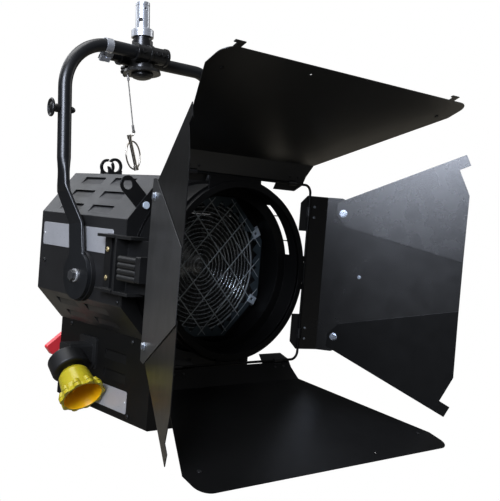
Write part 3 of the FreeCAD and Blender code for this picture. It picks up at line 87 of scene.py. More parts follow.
# ---- safety guard, in millimetres -----------------------------------------------------------
GUARD_Y = -150.0
GUARD_T = 1.2
GUARD_SIDES = 8
GUARD_APOTHEM = 129.0
RIM_APOTHEM = 121.0
TEETH = 4                              # points of the rim's inner edge along each of its sides
TOOTH = 13.0
MESH_PITCH = 40.0
MESH_TURN = 47.0                       # the bars' slope to the horizontal, in degrees
MESH_W = 1.3
MESH_PROUD = 0.15                      # the bars stand this far out of the rim on both faces
MESH_BARS = range(-3, 4)

# ---- focus cup ------------------------------------------------------------------------------
CUP_HUB = (-158.0, 52.0, -168.0)       # the pole cup turns about an axis through here
CUP_AXIS = Vector(JOINTS["focus_cup_turn"]["axis"])

# ---- stage and camera, in metres and degrees ------------------------------------------------
CAMERA_AZ = math.radians(40.95)        # the camera stands to the left of the beam
CAMERA_EL = math.radians(2.51)         # and looks slightly up
CAMERA_ROLL = math.radians(0.38)
CAMERA_PLACE = (-0.936, -1.416, -0.020)
LENS_MM = 60.3
SENSOR_MM = 36.0
GAMMA = 0.88                           # a contrasty studio print
WORLD_STRENGTH = 0.9
FLOOR_DROP = 0.70                      # floor below the lowest part of the hanging lamp
FLOOR_TINT = (1.0, 0.91, 0.74)
FLOOR_NEAR = -6.0                      # the floor runs from here, behind the camera,
FLOOR_FAR = 3.0                        # to here, and then sweeps up
SWEEP_R = 1.5
SWEEP_STEPS = 12
BACKDROP_TOP = 7.0
FLOOR_HALF = 7.0


def head(x, y, z):
    """A head-frame point in the row's frame."""
    return HEAD_ORIGIN + (HEAD_X * x + HEAD_Y * y + HEAD_Z * z) * MM


def lamp(x, y, z):
    """A point measured in metres from the pan axis at the height of the tilt axis."""
    return Vector((x, y, z + TILT_Z))


def grey(value, tint=(1.0, 1.0, 1.0)):
    return (value * tint[0], value * tint[1], value * tint[2], 1.0)


# ---- node helpers ---------------------------------------------------------------------------
class Shader:
    """A material's node tree with short calls for the nodes used here."""

    def __init__(self, name):
        self.material = bpy.data.materials.new(name)
        self.material.use_nodes = True
        self.tree = self.material.node_tree
        self.tree.nodes.clear()
        self.output = self.node("ShaderNodeOutputMaterial")
        self.bsdf = self.node("ShaderNodeBsdfPrincipled")
        self.link(self.bsdf, "BSDF", self.output, "Surface")
        self.coords = self.node("ShaderNodeTexCoord")

    def node(self, kind, **values):
        made = self.tree.nodes.new(kind)
        for key, value in values.items():
            setattr(made, key, value)
        return made

    def link(self, source, out, target, slot):
        self.tree.links.new(source.outputs[out], target.inputs[slot])

    def set(self, **values):
        for key, value in values.items():
            self.bsdf.inputs[key.replace("_", " ")].default_value = value

    def stretch(self, scale):
        """Object coordinates scaled unevenly, for brushed or streaky finishes."""
        mapping = self.node("ShaderNodeMapping")
        mapping.inputs["Scale"].default_value = scale
        self.link(self.coords, "Object", mapping, "Vector")
        return mapping

    def noise(self, scale, detail=3.0, rough=0.5, mapping=None):
        made = self.node("ShaderNodeTexNoise")
        made.inputs["Scale"].default_value = scale
        made.inputs["Detail"].default_value = detail
        made.inputs["Roughness"].default_value = rough
        if mapping is None:
            self.link(self.coords, "Object", made, "Vector")
        else:
            self.link(mapping, "Vector", made, "Vector")
        return made

    def ramp(self, source, stops, out="Fac"):
        """Colour ramp on a source; stops are (position, colour)."""
        made = self.node("ShaderNodeValToRGB")
        ramp = made.color_ramp
        while len(ramp.elements) < len(stops):
            ramp.elements.new(0.5)
        for element, (at, colour) in zip(ramp.elements, stops):
            element.position = at
            element.color = colour
        self.link(source, out, made, "Fac")
        return made

    def varied(self, source, low, high):
        """Colour that drifts from low to high with a noise."""
        return self.ramp(source, [(0.3, low), (0.7, high)])

    def range(self, source, low, high, out="Fac", frm=(0.3, 0.7)):
        made = self.node("ShaderNodeMapRange")
        made.inputs["From Min"].default_value = frm[0]
        made.inputs["From Max"].default_value = frm[1]
        made.inputs["To Min"].default_value = low
        made.inputs["To Max"].default_value = high
        self.link(source, out, made, "Value")
        return made

    def gloss(self, source, low, high):
        """Roughness that drifts with a noise."""
        self.link(self.range(source, low, high), "Result", self.bsdf, "Roughness")

    def colour(self, source, out="Color"):
        self.link(source, out, self.bsdf, "Base Color")

    def bump(self, source, strength, distance, below=None):
        made = self.node("ShaderNodeBump")
        made.inputs["Strength"].default_value = strength
        made.inputs["Distance"].default_value = distance
        self.link(source, "Fac", made, "Height")
        if below is not None:
            self.link(below, "Normal", made, "Normal")
        return made

    def surface(self, bump, edge):
        """Use a bump on the surface; edge is the radius that softens hard CAD edges in shading under it."""
        self.link(bump, "Normal", self.bsdf, "Normal")
        if edge:
            self.round_edges(edge, bump)

    def round_edges(self, radius, below):
        bevel = self.node("ShaderNodeBevel")
        bevel.samples = 4
        bevel.inputs["Radius"].default_value = radius
        self.link(bevel, "Normal", below, "Normal")

    def mix(self, factor, out, first, second):
        """Colour mix of two sources by a factor; its output is number 2."""
        made = self.node("ShaderNodeMix", data_type="RGBA")
        self.link(factor, out, made, 0)
        self.link(first, "Color", made, 6)
        self.link(second, "Color", made, 7)
        return made

    def join(self, operation, first, first_out, second, second_out):
        """One arithmetic step on two sources."""
        made = self.node("ShaderNodeMath", operation=operation)
        self.link(first, first_out, made, 0)
        self.link(second, second_out, made, 1)
        return made

    def along(self, out, axis):
        """How far the object coordinate or the normal reaches along an axis."""
        made = self.node("ShaderNodeVectorMath", operation="DOT_PRODUCT")
        self.link(self.coords, out, made, 0)
        made.inputs[1].default_value = axis
        return made

    def crossed(self, out, centre, axis):
        """Vector from centre, crossed with an axis: its length is the distance from that axis."""
        shift = self.node("ShaderNodeVectorMath", operation="SUBTRACT")
        self.link(self.coords, out, shift, 0)
        shift.inputs[1].default_value = centre
        made = self.node("ShaderNodeVectorMath", operation="CROSS_PRODUCT")
        self.link(shift, "Vector", made, 0)
        made.inputs[1].default_value = axis
        return made

    def off_axis(self, centre, axis):
        made = self.node("ShaderNodeVectorMath", operation="LENGTH")
        self.link(self.crossed("Object", centre, axis), "Vector", made, 0)
        return made


# ---- materials ------------------------------------------------------------------------------
DUST = grey(0.16, (1.0, 0.99, 1.02))


def painted(name, shade, tint, rough, grain=900.0, edge=0.0009, dust=0.35, coat=0.0, shine=0.5):
    """Powder coat or enamel: fine orange-peel grain, uneven gloss and a film of dust on upward faces."""
    s = Shader(name)
    cloud = s.noise(7.0, 5.0, 0.6)
    peel = s.noise(grain, 2.0, 0.55)
    wave = s.noise(35.0, 3.0, 0.5)
    speck = s.noise(260.0, 4.0, 0.7)
    base = s.varied(cloud, grey(shade * 0.8, tint), grey(shade * 1.25, tint))
    normal = s.node("ShaderNodeNewGeometry")
    upward = s.node("ShaderNodeSeparateXYZ")
    s.link(normal, "Normal", upward, "Vector")
    facing = s.range(upward, 0.0, dust, "Z", (0.25, 1.0))
    film = s.join("MULTIPLY", facing, "Result", speck, "Fac")
    dusty = s.node("ShaderNodeMix", data_type="RGBA")
    s.link(film, "Value", dusty, 0)
    s.link(base, "Color", dusty, 6)
    dusty.inputs[7].default_value = DUST
    s.colour(dusty, 2)
    s.gloss(wave, rough * 0.95, rough * 1.06)
    s.set(Specular_IOR_Level=shine, Coat_Weight=coat, Coat_Roughness=0.25)
    fine = s.bump(peel, 0.10, 0.00012)
    soft = s.bump(wave, 0.02, 0.0004, below=fine)
    s.link(soft, "Normal", s.bsdf, "Normal")
    s.round_edges(edge, fine)
    return s.material


def sheet(name, shade, tint, rough, shine):
    """The thin powder coat of a leaf or a wing, with crisp edges and next to no dust."""
    return painted(name, shade, tint, rough, edge=0.0003, dust=0.02, shine=shine)


def shifted(colour, factor):
    return tuple(min(1.0, channel * factor) for channel in colour) + (1.0,)


def metal(name, colour, rough, brush=(900.0, 900.0, 900.0), edge=0.0006, stain=0.12, metallic=1.0):
    """Bare or plated metal with brushing along one axis and slight staining."""
    s = Shader(name)
    stains = s.noise(22.0, 5.0, 0.65)
    s.colour(s.ramp(stains, [(0.32, shifted(colour, 1.0 - stain)), (0.68, shifted(colour, 1.0 + stain))]))
    lines = s.noise(1.0, 3.0, 0.6, s.stretch(brush))
    s.gloss(lines, rough * 0.75, rough * 1.3)
    s.set(Metallic=metallic)
    s.surface(s.bump(lines, 0.12, 0.00008), edge)
    return s.material


def plastic(name, colour, rough, grain=400.0, strength=0.1):
    """Moulded plastic: slight flow variation, fine spark-eroded grain, soft edges."""
    s = Shader(name)
    flow = s.noise(16.0, 4.0, 0.55)
    s.colour(s.varied(flow, shifted(colour, 0.88), shifted(colour, 1.12)))
    s.gloss(flow, rough * 0.8, rough * 1.2)
    s.surface(s.bump(s.noise(grain, 3.0, 0.6), strength, 0.00025), 0.0008)
    return s.material


def quartz_glass():
    """Clear bulb with faint waviness."""
    s = Shader("quartz")
    wave = s.noise(60.0, 2.0, 0.5)
    s.gloss(wave, 0.005, 0.02)
    s.set(Base_Color=grey(1.0), Transmission_Weight=1.0, IOR=1.5)
    s.surface(s.bump(wave, 0.05, 0.0003), 0.0)
    return s.material


def lens_glass():
    """Thick pressed glass before a dark lamp house: painted highlights on its prism crests, which also turn
    metallic for real glints, and the glass painted near black as shade, with the lamp house faintly through it.
    """
    s = Shader("lens_glass")
    wave = s.noise(60.0, 2.0, 0.5)
    # painted shade: the glass itself is coloured near black and kept half opaque, standing in for the dark lamp
    # house behind it
    dark = s.varied(wave, (0.010, 0.012, 0.012, 1.0), (0.020, 0.024, 0.024, 1.0))
    pale = s.varied(wave, (0.50, 0.54, 0.57, 1.0), (0.66, 0.70, 0.74, 1.0))
    reach = s.off_axis(head(0, 0, OPTIC_Z), HEAD_Y)
    ring = s.node("ShaderNodeMath", operation="MULTIPLY_ADD")
    s.link(reach, "Value", ring, 0)
    ring.inputs[1].default_value = 1.0 / (LENS_STEP * MM)
    ring.inputs[2].default_value = -LENS_CORE / LENS_STEP
    phase = s.node("ShaderNodeMath", operation="FRACT")
    s.link(ring, "Value", phase, 0)
    # painted highlight: a pale band on each ring's crest; the same mask also makes the crest metallic and more
    # opaque
    crest = s.ramp(phase, [(0.05, grey(0.0)), (0.09, grey(1.0)), (0.20, grey(1.0)), (0.30, grey(0.0))], "Value")
    s.colour(s.mix(crest, "Color", dark, pale), 2)
    s.gloss(wave, 0.22, 0.30)
    shiny = s.range(crest, 0.0, 0.85, "Color", (0.0, 1.0))
    s.link(shiny, "Result", s.bsdf, "Metallic")
    solid = s.range(crest, 0.62, 0.95, "Color", (0.0, 1.0))
    s.link(solid, "Result", s.bsdf, "Alpha")
    s.set(IOR=2.1, Specular_IOR_Level=0.9)
    s.surface(s.bump(wave, 0.05, 0.0003), 0.0)
    return s.material


def cup_moulding():
    """Yellow plastic with painted amber bounce light on the walls and bottom of its cup, where light bounces
    between its own walls.
    """
    s = Shader("yellow_moulding")
    hub = head(*CUP_HUB)
    inward = s.node("ShaderNodeVectorMath", operation="DOT_PRODUCT")
    s.link(s.crossed("Object", hub, CUP_AXIS), "Vector", inward, 0)
    s.link(s.crossed("Normal", (0.0, 0.0, 0.0), CUP_AXIS), "Vector", inward, 1)
    wall = s.range(inward, 0.0, 1.0, "Value", (-0.002, -0.010))
    mouthward = s.range(s.along("Normal", CUP_AXIS), 0.0, 1.0, "Value", (0.7, 0.85))
    narrow = s.range(s.off_axis(hub, CUP_AXIS), 1.0, 0.0, "Value", (0.031, 0.034))
    bottom = s.join("MULTIPLY", mouthward, "Result", narrow, "Result")
    painted_bounce_mask = s.join("MAXIMUM", wall, "Result", bottom, "Value")
    flow = s.noise(16.0, 4.0, 0.55)
    skin = s.varied(flow, (0.36, 0.295, 0.017, 1.0), (0.41, 0.34, 0.024, 1.0))
    # painted bounce light: the cup's walls and bottom take a deeper, brighter amber than its skin
    painted_bounce_amber = s.varied(flow, (0.82, 0.42, 0.004, 1.0), (0.88, 0.50, 0.008, 1.0))
    s.colour(s.mix(painted_bounce_mask, "Value", skin, painted_bounce_amber), 2)
    s.gloss(flow, 0.24, 0.34)
    s.set(Subsurface_Weight=0.04)
    s.surface(s.bump(s.noise(400.0, 3.0, 0.6), 0.08, 0.00025), 0.0012)
    return s.material


def bolt_steel():
    """Dark zinc hexagon on a brighter washer, told apart by the distance from the tilt axis."""
    s = Shader("bolt_steel")
    stains = s.noise(60.0, 4.0, 0.6)
    dark = s.varied(stains, grey(0.10), grey(0.15))
    pale = s.varied(stains, grey(0.62), grey(0.74))
    washer = s.range(s.off_axis(HEAD_ORIGIN, HEAD_X), 0.0, 1.0, "Value", (0.0096, 0.0099))
    s.colour(s.mix(washer, "Result", dark, pale), 2)
    s.gloss(stains, 0.26, 0.40)
    s.set(Metallic=0.7)
    s.surface(s.bump(s.noise(500.0, 3.0, 0.6), 0.1, 0.0001), 0.0006)
    return s.material


def clip_steel():
    """Zinc on the guard's clips; the springs and lever in front of them are blackened."""
    s = Shader("clip_steel")
    stains = s.noise(40.0, 4.0, 0.6)
    bright = s.varied(stains, (0.62, 0.70, 0.77, 1.0), (0.74, 0.82, 0.88, 1.0))
    black = s.varied(stains, grey(0.006), grey(0.010))
    start = HEAD_ORIGIN.dot(HEAD_Y)
    forward = s.range(s.along("Object", HEAD_Y), 1.0, 0.0, "Value", (start - 0.1560, start - 0.1545))
    s.colour(s.mix(forward, "Result", bright, black), 2)
    s.gloss(stains, 0.24, 0.34)
    s.set(Metallic=0.35)
    s.surface(s.bump(s.noise(600.0, 3.0, 0.6), 0.1, 0.0001), 0.0005)
    return s.material


def make_materials():
    black = (1.0, 0.99, 1.02)
    neutral = (1.0, 1.0, 1.0)
    return {
        "powder": painted("powder_coat_black", 0.007, black, 0.40, dust=0.10),
        # painted shade: the snoot and the barndoor ring get a darker, duller copy of the black coat for the
        # shade inside them
        "snoot_painted_shade": painted("snoot_coat_painted_shade", 0.0035, black, 0.42, dust=0.03, shine=0.2),
        # painted light: the housing gets a lighter copy of the black coat to brighten its sides
        "housing_painted_lighter": painted("housing_coat_painted_lighter", 0.012, black, 0.44, dust=0.40),
        # painted shade: the base gets a darker, duller copy of the black coat for the head's shadow over it
        "base_painted_shade": painted("base_coat_painted_shade", 0.005, (1.05, 1.0, 0.90), 0.50, dust=0.15, shine=0.22),
        # painted light and shade: the leaves and wings share one black coat; these are its lit and shaded
        # copies
        "leaf": sheet("powder_coat_leaf", 0.0035, neutral, 0.26, 0.75),
        "left_leaf_painted_lighter": sheet("left_leaf_coat_painted_lighter", 0.035, (1.0, 0.99, 0.97), 0.34, 0.4),
        "top_leaf_painted_lighter": sheet("top_leaf_coat_painted_lighter", 0.012, (1.0, 1.0, 0.97), 0.32, 0.8),
        "bottom_leaf_shaded_copy": sheet("bottom_leaf_coat_shaded_copy", 0.005, (1.0, 0.98, 0.94), 0.34, 0.12),
        "left_wing_painted_lighter": sheet("left_wing_coat_painted_lighter", 0.006, neutral, 0.32, 0.5),
        # painted sheen: the upper right wing is tinted bluish and made shinier than the leaf it sits on
        "upper_wing_painted_sheen": sheet("upper_wing_coat_painted_sheen", 0.0045, (1.0, 1.0, 1.06), 0.27, 1.0),
        "lower_wing_shaded_copy": sheet("lower_wing_coat_shaded_copy", 0.004, neutral, 0.30, 0.22),
        "enamel": painted("enamel_tube", 0.009, (0.92, 1.0, 1.12), 0.34, 500.0, 0.0004, dust=0.06,
                          coat=0.05),
        "cast": painted("cast_black", 0.008, black, 0.30, grain=300.0, dust=0.10, shine=0.6),
        "cable": metal("cable_steel", (0.20, 0.19, 0.18), 0.40, stain=0.2, metallic=0.9),
        "pin": metal("hitch_pin_steel", (0.48, 0.44, 0.38), 0.22, stain=0.25),
        "fastener": metal("bolt_zinc", (0.46, 0.50, 0.56), 0.26, stain=0.15, metallic=0.9),
        "alloy": metal("machined_alloy", (0.68, 0.70, 0.74), 0.30, (60.0, 60.0, 1500.0), stain=0.05,
                       metallic=0.8),
        "zinc": metal("zinc_plate", (0.70, 0.71, 0.71), 0.30, stain=0.08, metallic=0.75),
        "gold": metal("yellow_passivate", (0.62, 0.52, 0.30), 0.34),
        "clip": clip_steel(),
        "mesh": metal("guard_wire", (0.66, 0.71, 0.74), 0.34, edge=0.0, metallic=0.5),
        "rim": metal("guard_rim", (0.085, 0.115, 0.135), 0.42, edge=0.0, metallic=0.5),
        "plate": metal("brushed_plate", (0.46, 0.46, 0.47), 0.36, (30.0, 60.0, 1600.0), stain=0.05,
                       metallic=0.5),
        "mirror": metal("reflector_metal", (0.86, 0.86, 0.87), 0.12, edge=0.0),
        "glass": lens_glass(),
        "quartz": quartz_glass(),
        "yellow": cup_moulding(),
        "red": plastic("red_moulding", (0.60, 0.045, 0.055), 0.30),
        "black_plastic": plastic("black_moulding", (0.008, 0.008, 0.008), 0.50, strength=0.2),
        "bolt": bolt_steel(),
        "ceramic": plastic("ceramic", (0.80, 0.78, 0.72), 0.55),
        "rubber": plastic("black_rubber", (0.015, 0.015, 0.015), 0.6, grain=700.0),
    }


SLOT_LOOK = {
    "black_paint": "powder", "tube_paint": "enamel", "bright_alloy": "alloy", "plated_steel": "zinc",
    "gold_plate": "gold", "lens_glass": "glass", "lamp_glass": "quartz", "mirror_metal": "mirror",
    "mesh_steel": "mesh", "yellow_plastic": "yellow", "red_plastic": "red", "black_plastic": "black_plastic",
    "ceramic": "ceramic", "plate_silver": "plate", "black_rubber": "rubber",
}
NODE_LOOK = {
    "housing_wrap": "housing_painted_lighter", "rear_panel": "housing_painted_lighter", "base_box": "base_painted_shade",
    "pivot_casting": "cast", "pan_bearing": "cast", "tilt_bolts": "bolt", "lens_door_fittings": "clip",
    # the snoot and the ring take the black coat painted darker for their shade
    "snoot": "snoot_painted_shade", "barndoor_ring": "snoot_painted_shade",
    # each leaf and wing takes its lit or shaded copy of the one black coat
    "leaf_top": "top_leaf_painted_lighter", "leaf_left": "left_leaf_painted_lighter", "leaf_right": "leaf", "leaf_bottom": "bottom_leaf_shaded_copy",
    "wing_left_a": "left_wing_painted_lighter", "wing_left_b": "left_wing_painted_lighter",
    "wing_right_a": "upper_wing_painted_sheen", "wing_right_b": "lower_wing_shaded_copy",
    "leaf_fasteners_left": "fastener", "leaf_fasteners_right": "fastener",
    "lanyard_cable": "cable", "hitch_pin": "pin",
}


def dress_cad(looks):
    """Give every carried-over CAD node the look of its slot, or its own."""
    slots = {part["node"]: part["material_slot"] for part in frame["record"]["subparts"]}
    for name, obj in NODES.items():
        obj.data.materials.clear()
        obj.data.materials.append(looks[NODE_LOOK.get(name, SLOT_LOOK[slots[name]])])


# ---- stage, camera and light ----------------------------------------------------------------
def link_object(name, data):
    obj = bpy.data.objects.new(name, data)
    bpy.context.scene.collection.objects.link(obj)
    return obj


def camera_axes():
    """Viewing direction, right and up, before the roll."""
    level = math.cos(CAMERA_EL)
    ahead = Vector((math.sin(CAMERA_AZ) * level, math.cos(CAMERA_AZ) * level, math.sin(CAMERA_EL)))
    right = Vector((math.cos(CAMERA_AZ), -math.sin(CAMERA_AZ), 0))
    return ahead, right, right.cross(ahead)


def floor_paint(low, back):
    """White to the camera; in reflections a warm floor with painted shade: dark beyond the lamp and up the
    backdrop, and dimmer towards the camera.
    """
    s = Shader("pale_floor")
    # painted shade: the floor's colour darkens towards the camera and up the backdrop, for the unlit room seen
    # in reflections
    near = s.range(s.along("Object", back), 0.25, 1.0, "Value", (-0.2, 1.2))
    place = s.node("ShaderNodeSeparateXYZ")
    s.link(s.coords, "Object", place, "Vector")
    backdrop_painted_shade = s.range(place, 1.0, 0.1, "Z", (low + 0.7, low + 1.7))
    shade = s.join("MULTIPLY", near, "Result", backdrop_painted_shade, "Result")
    tone = s.noise(3.0, 2.0, 0.5)
    light = s.varied(tone, grey(0.50, FLOOR_TINT), grey(0.58, FLOOR_TINT))
    dark = s.varied(tone, grey(0.02), grey(0.03))
    s.colour(s.mix(shade, "Value", dark, light), 2)
    s.set(Roughness=0.8)
    glow = s.node("ShaderNodeEmission")
    glow.inputs["Strength"].default_value = 1.0
    path = s.node("ShaderNodeLightPath")
    both = s.node("ShaderNodeMixShader")
    s.link(path, "Is Camera Ray", both, "Fac")
    s.link(s.bsdf, "BSDF", both, 1)
    s.link(glow, "Emission", both, 2)
    s.link(both, "Shader", s.output, "Surface")
    return s.material


def make_floor(low):
    """Pale floor that sweeps up into a backdrop beyond the lamp."""
    view = camera_axes()[0]
    back = Vector((view.x, view.y, 0)).normalized()
    side = Vector((back.y, -back.x, 0))
    profile = [(FLOOR_NEAR, 0.0), (FLOOR_FAR, 0.0)]
    for step in range(1, SWEEP_STEPS + 1):
        a = math.pi / 2 * step / SWEEP_STEPS
        profile.append((FLOOR_FAR + SWEEP_R * math.sin(a), SWEEP_R * (1 - math.cos(a))))
    profile.append((FLOOR_FAR + SWEEP_R, BACKDROP_TOP))
    verts = []
    for reach, rise in profile:
        for half in (-FLOOR_HALF, FLOOR_HALF):
            verts.append(Vector((0, 0, low + rise)) + back * reach + side * half)
    faces = [(2 * i, 2 * i + 1, 2 * i + 3, 2 * i + 2) for i in range(len(profile) - 1)]
    mesh = bpy.data.meshes.new("floor")
    mesh.from_pydata(verts, [], faces)
    mesh.materials.append(floor_paint(low, back))
    for polygon in mesh.polygons:
        polygon.use_smooth = True
    link_object("floor", mesh)


def make_camera():
    data = bpy.data.cameras.new("camera")
    data.lens = LENS_MM
    data.sensor_width = SENSOR_MM
    ahead, level_right, level_up = camera_axes()
    c = math.cos(CAMERA_ROLL)
    s = math.sin(CAMERA_ROLL)
    right = level_right * c + level_up * s
    up = level_up * c - level_right * s
    at = lamp(*CAMERA_PLACE)
    obj = link_object("camera", data)
    obj.matrix_world = Matrix((
        (right.x, up.x, -ahead.x, at.x), (right.y, up.y, -ahead.y, at.y), (right.z, up.z, -ahead.z, at.z),
        (0, 0, 0, 1)))
    bpy.context.scene.camera = obj


def area_light(name, at, target, size, power, colour=(1.0, 1.0, 1.0)):
    data = bpy.data.lights.new(name, "AREA")
    data.shape = "RECTANGLE"
    data.size = size[0]
    data.size_y = size[1]
    data.energy = power
    data.color = colour
    obj = link_object(name, data)
    obj.location = lamp(*at)
    obj.rotation_euler = (Vector(target) - Vector(at)).to_track_quat("-Z", "Y").to_euler()


def make_world():
    """White to the camera; in reflections a dim room, dark below the horizon and lighter overhead."""
    world = bpy.data.worlds.new("world")
    bpy.context.scene.world = world
    world.use_nodes = True
    tree = world.node_tree
    tree.nodes.clear()
    out = tree.nodes.new("ShaderNodeOutputWorld")
    coords = tree.nodes.new("ShaderNodeTexCoord")
    split = tree.nodes.new("ShaderNodeSeparateXYZ")
    lift = tree.nodes.new("ShaderNodeMapRange")
    lift.inputs["From Min"].default_value = -1.0
    sky = tree.nodes.new("ShaderNodeValToRGB")
    for element, (at, shade) in zip(sky.color_ramp.elements, ((0.45, 0.03), (1.0, 0.48))):
        element.position = at
        element.color = grey(shade, (0.96, 0.98, 1.0))
    dim = tree.nodes.new("ShaderNodeBackground")
    dim.inputs["Strength"].default_value = WORLD_STRENGTH
    pale = tree.nodes.new("ShaderNodeBackground")
    pale.inputs["Color"].default_value = grey(1.0)
    path = tree.nodes.new("ShaderNodeLightPath")
    both = tree.nodes.new("ShaderNodeMixShader")
    tree.links.new(coords.outputs["Generated"], split.inputs[0])
    tree.links.new(split.outputs["Z"], lift.inputs["Value"])
    tree.links.new(lift.outputs["Result"], sky.inputs["Fac"])
    tree.links.new(sky.outputs["Color"], dim.inputs["Color"])
    tree.links.new(path.outputs["Is Camera Ray"], both.inputs[0])
    tree.links.new(dim.outputs[0], both.inputs[1])
    tree.links.new(pale.outputs[0], both.inputs[2])
    tree.links.new(both.outputs[0], out.inputs[0])


def make_light():
    middle = (0.0, -0.1, 0.1)
    area_light("key_above", (-0.6, 0.3, 2.4), middle, (1.8, 1.8), 40)
    area_light("left_window", (-2.45, -1.75, 1.16), (0.2, -0.4, 0.1), (1.4, 1.5), 180, (0.80, 0.86, 1.0))
    area_light("back_window", (-0.9, 2.4, 2.0), middle, (2.2, 1.3), 22, (0.93, 0.96, 1.0))
    area_light("right_fill", (2.4, -0.6, 0.9), (0.1, -0.2, 0.0), (1.0, 1.2), 7)


# ---- piece helpers --------------------------------------------------------------------------
SMOOTH_DEG = 32.0


def finish_piece(name, bm, body, nodes, materials):
    """Mesh to object: smooth but for sharp edges, with its materials, riding on its body."""
    bmesh.ops.recalc_face_normals(bm, faces=bm.faces)
    mesh = bpy.data.meshes.new(name)
    bm.to_mesh(mesh)
    bm.free()
    for material in materials:
        mesh.materials.append(material)
    for polygon in mesh.polygons:
        polygon.use_smooth = True
    mesh.set_sharp_from_angle(angle=math.radians(SMOOTH_DEG))
    piece = link_object(name, mesh)
    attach(piece, body)
    if nodes:
        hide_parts(*nodes)
    return piece


def spin_piece(name, profile, centre, axis, body, nodes, look, segments=160, close=True):
    """Turn a (radius, along) profile in millimetres about an axis through centre."""
    axis = axis.normalized()
    side = axis.orthogonal().normalized()
    third = axis.cross(side)
    turn = [2 * math.pi * i / segments for i in range(segments)]
    bm = bmesh.new()
    rings = []
    for radius, along in profile:
        spot = centre + axis * along * MM
        if radius <= 0:
            rings.append([bm.verts.new(spot)])
            continue
        ring = [spot + (side * math.cos(a) + third * math.sin(a)) * radius * MM for a in turn]
        rings.append([bm.verts.new(point) for point in ring])
    following = rings[1:] + rings[:1] if close else rings[1:]
    for low, high in zip(rings, following):
        if len(low) == 1 and len(high) == 1:
            continue
        for i in range(segments):
            j = (i + 1) % segments
            corners = [low[0]] if len(low) == 1 else [low[i], low[j]]
            corners += [high[0]] if len(high) == 1 else [high[j], high[i]]
            bm.faces.new(corners)
    return finish_piece(name, bm, body, nodes, [look])


# ---- lens -----------------------------------------------------------------------------------
def ring_profile(outer):
    """One prism ring: a slope inwards from its outer edge and a rounded crest near its inner edge."""
    nose = outer - 0.80 * LENS_STEP
    points = [(outer, LENS_FRONT), (outer - 0.15 * LENS_STEP, LENS_FRONT - 0.4)]
    for degrees in (40, 65, 90, 115, 140, 165):
        a = math.radians(degrees)
        points.append((nose + CREST_R * math.cos(a), LENS_FRONT - CREST_HEIGHT - CREST_R * math.sin(a)))
    return points


def make_lens(looks):
    """Pressed fresnel lens: flat back, a crowned middle and concentric prism rings; its wire in front."""
    profile = [(0, LENS_BACK), (LENS_R, LENS_BACK), (LENS_R, LENS_FRONT)]
    for i in range(LENS_RINGS):
        profile += ring_profile(LENS_R - LENS_RIM - i * LENS_STEP)
    profile.append((LENS_CORE, LENS_FRONT))
    profile += [(LENS_CORE * f, LENS_FRONT - CORE_CROWN * (1 - f * f)) for f in (0.85, 0.7, 0.55, 0.4, 0.2)]
    profile.append((0, LENS_FRONT - CORE_CROWN))
    centre = head(0, 0, OPTIC_Z)
    spin_piece("fresnel_lens_rings", profile, centre, HEAD_Y, "lens_door", ["fresnel_lens"], looks["glass"],
               segments=LENS_SEGMENTS)
    wire_r = 1.7
    loop_r = 123.5
    around = []
    for i in range(10):
        a = 2 * math.pi * i / 10
        around.append((loop_r + wire_r * math.cos(a), LENS_FRONT - 3.0 + wire_r * math.sin(a)))
    spin_piece("lens_retaining_wire", around, centre, HEAD_Y, "lens_door", [], looks["mesh"])


# ---- guard ----------------------------------------------------------------------------------
def rim_plate(bm, outer, inner):
    """Flat band between two closed outlines in the guard's plane."""
    made = []
    for push in (0.0, GUARD_T):
        for outline in (outer, inner):
            made.append([bm.verts.new(head(x, GUARD_Y + push, OPTIC_Z + z)) for x, z in outline])
    front_out, front_in, back_out, back_in = made
    for i in range(len(outer)):
        j = (i + 1) % len(outer)
        for first, second in ((front_out, front_in), (back_out, back_in), (front_out, back_out),
                              (front_in, back_in)):
            bm.faces.new((first[i], first[j], second[j], second[i])).material_index = 1


def make_guard(looks):
    """Eight-sided safety mesh: a rim with a toothed inner edge and a diagonal lattice of thin bars."""
    bm = bmesh.new()
    outer = []
    inner = []
    slope = math.tan(math.pi / GUARD_SIDES)
    for side in range(GUARD_SIDES):
        middle = 2 * math.pi * side / GUARD_SIDES
        out = (math.cos(middle), math.sin(middle))
        for k in range(2 * TEETH):
            share = k / TEETH - 1.0
            for outline, apothem in ((outer, GUARD_APOTHEM), (inner, RIM_APOTHEM - TOOTH * (k % 2))):
                reach = apothem * slope * share
                outline.append((out[0] * apothem - out[1] * reach, out[1] * apothem + out[0] * reach))
    rim_plate(bm, outer, inner)
    for turn in (MESH_TURN, -MESH_TURN):
        c = math.cos(math.radians(turn))
        s = math.sin(math.radians(turn))
        for i in MESH_BARS:
            add_bar(bm, i * MESH_PITCH, c, s)
    finish_piece("safety_guard", bm, "lens_door", ["wire_guard"], [looks["mesh"], looks["rim"]])


def bar_reach(way, level, c, s):
    """How far a bar at this distance from the middle runs one way before it meets the rim."""
    reach = 0.0
    while True:
        x = abs(way * reach * c - level * s)
        z = abs(way * reach * s + level * c)
        if max(x, z, (x + z) * math.sqrt(0.5)) > GUARD_APOTHEM - 3.0:
            return way * reach
        reach += 0.5


def add_bar(bm, level, c, s):
    """One straight bar of the lattice, of rectangular section."""
    low = bar_reach(-1, level, c, s)
    high = bar_reach(1, level, c, s)
    corners = []
    for push in (-MESH_PROUD, GUARD_T + MESH_PROUD):
        for along, across in ((low, -1), (high, -1), (high, 1), (low, 1)):
            v = level + across * MESH_W / 2
            corners.append(bm.verts.new(head(along * c - v * s, GUARD_Y + push, OPTIC_Z + along * s + v * c)))
    for face in ((0, 1, 2, 3), (4, 5, 6, 7), (0, 1, 5, 4), (1, 2, 6, 5), (2, 3, 7, 6), (3, 0, 4, 7)):
        bm.faces.new([corners[i] for i in face])


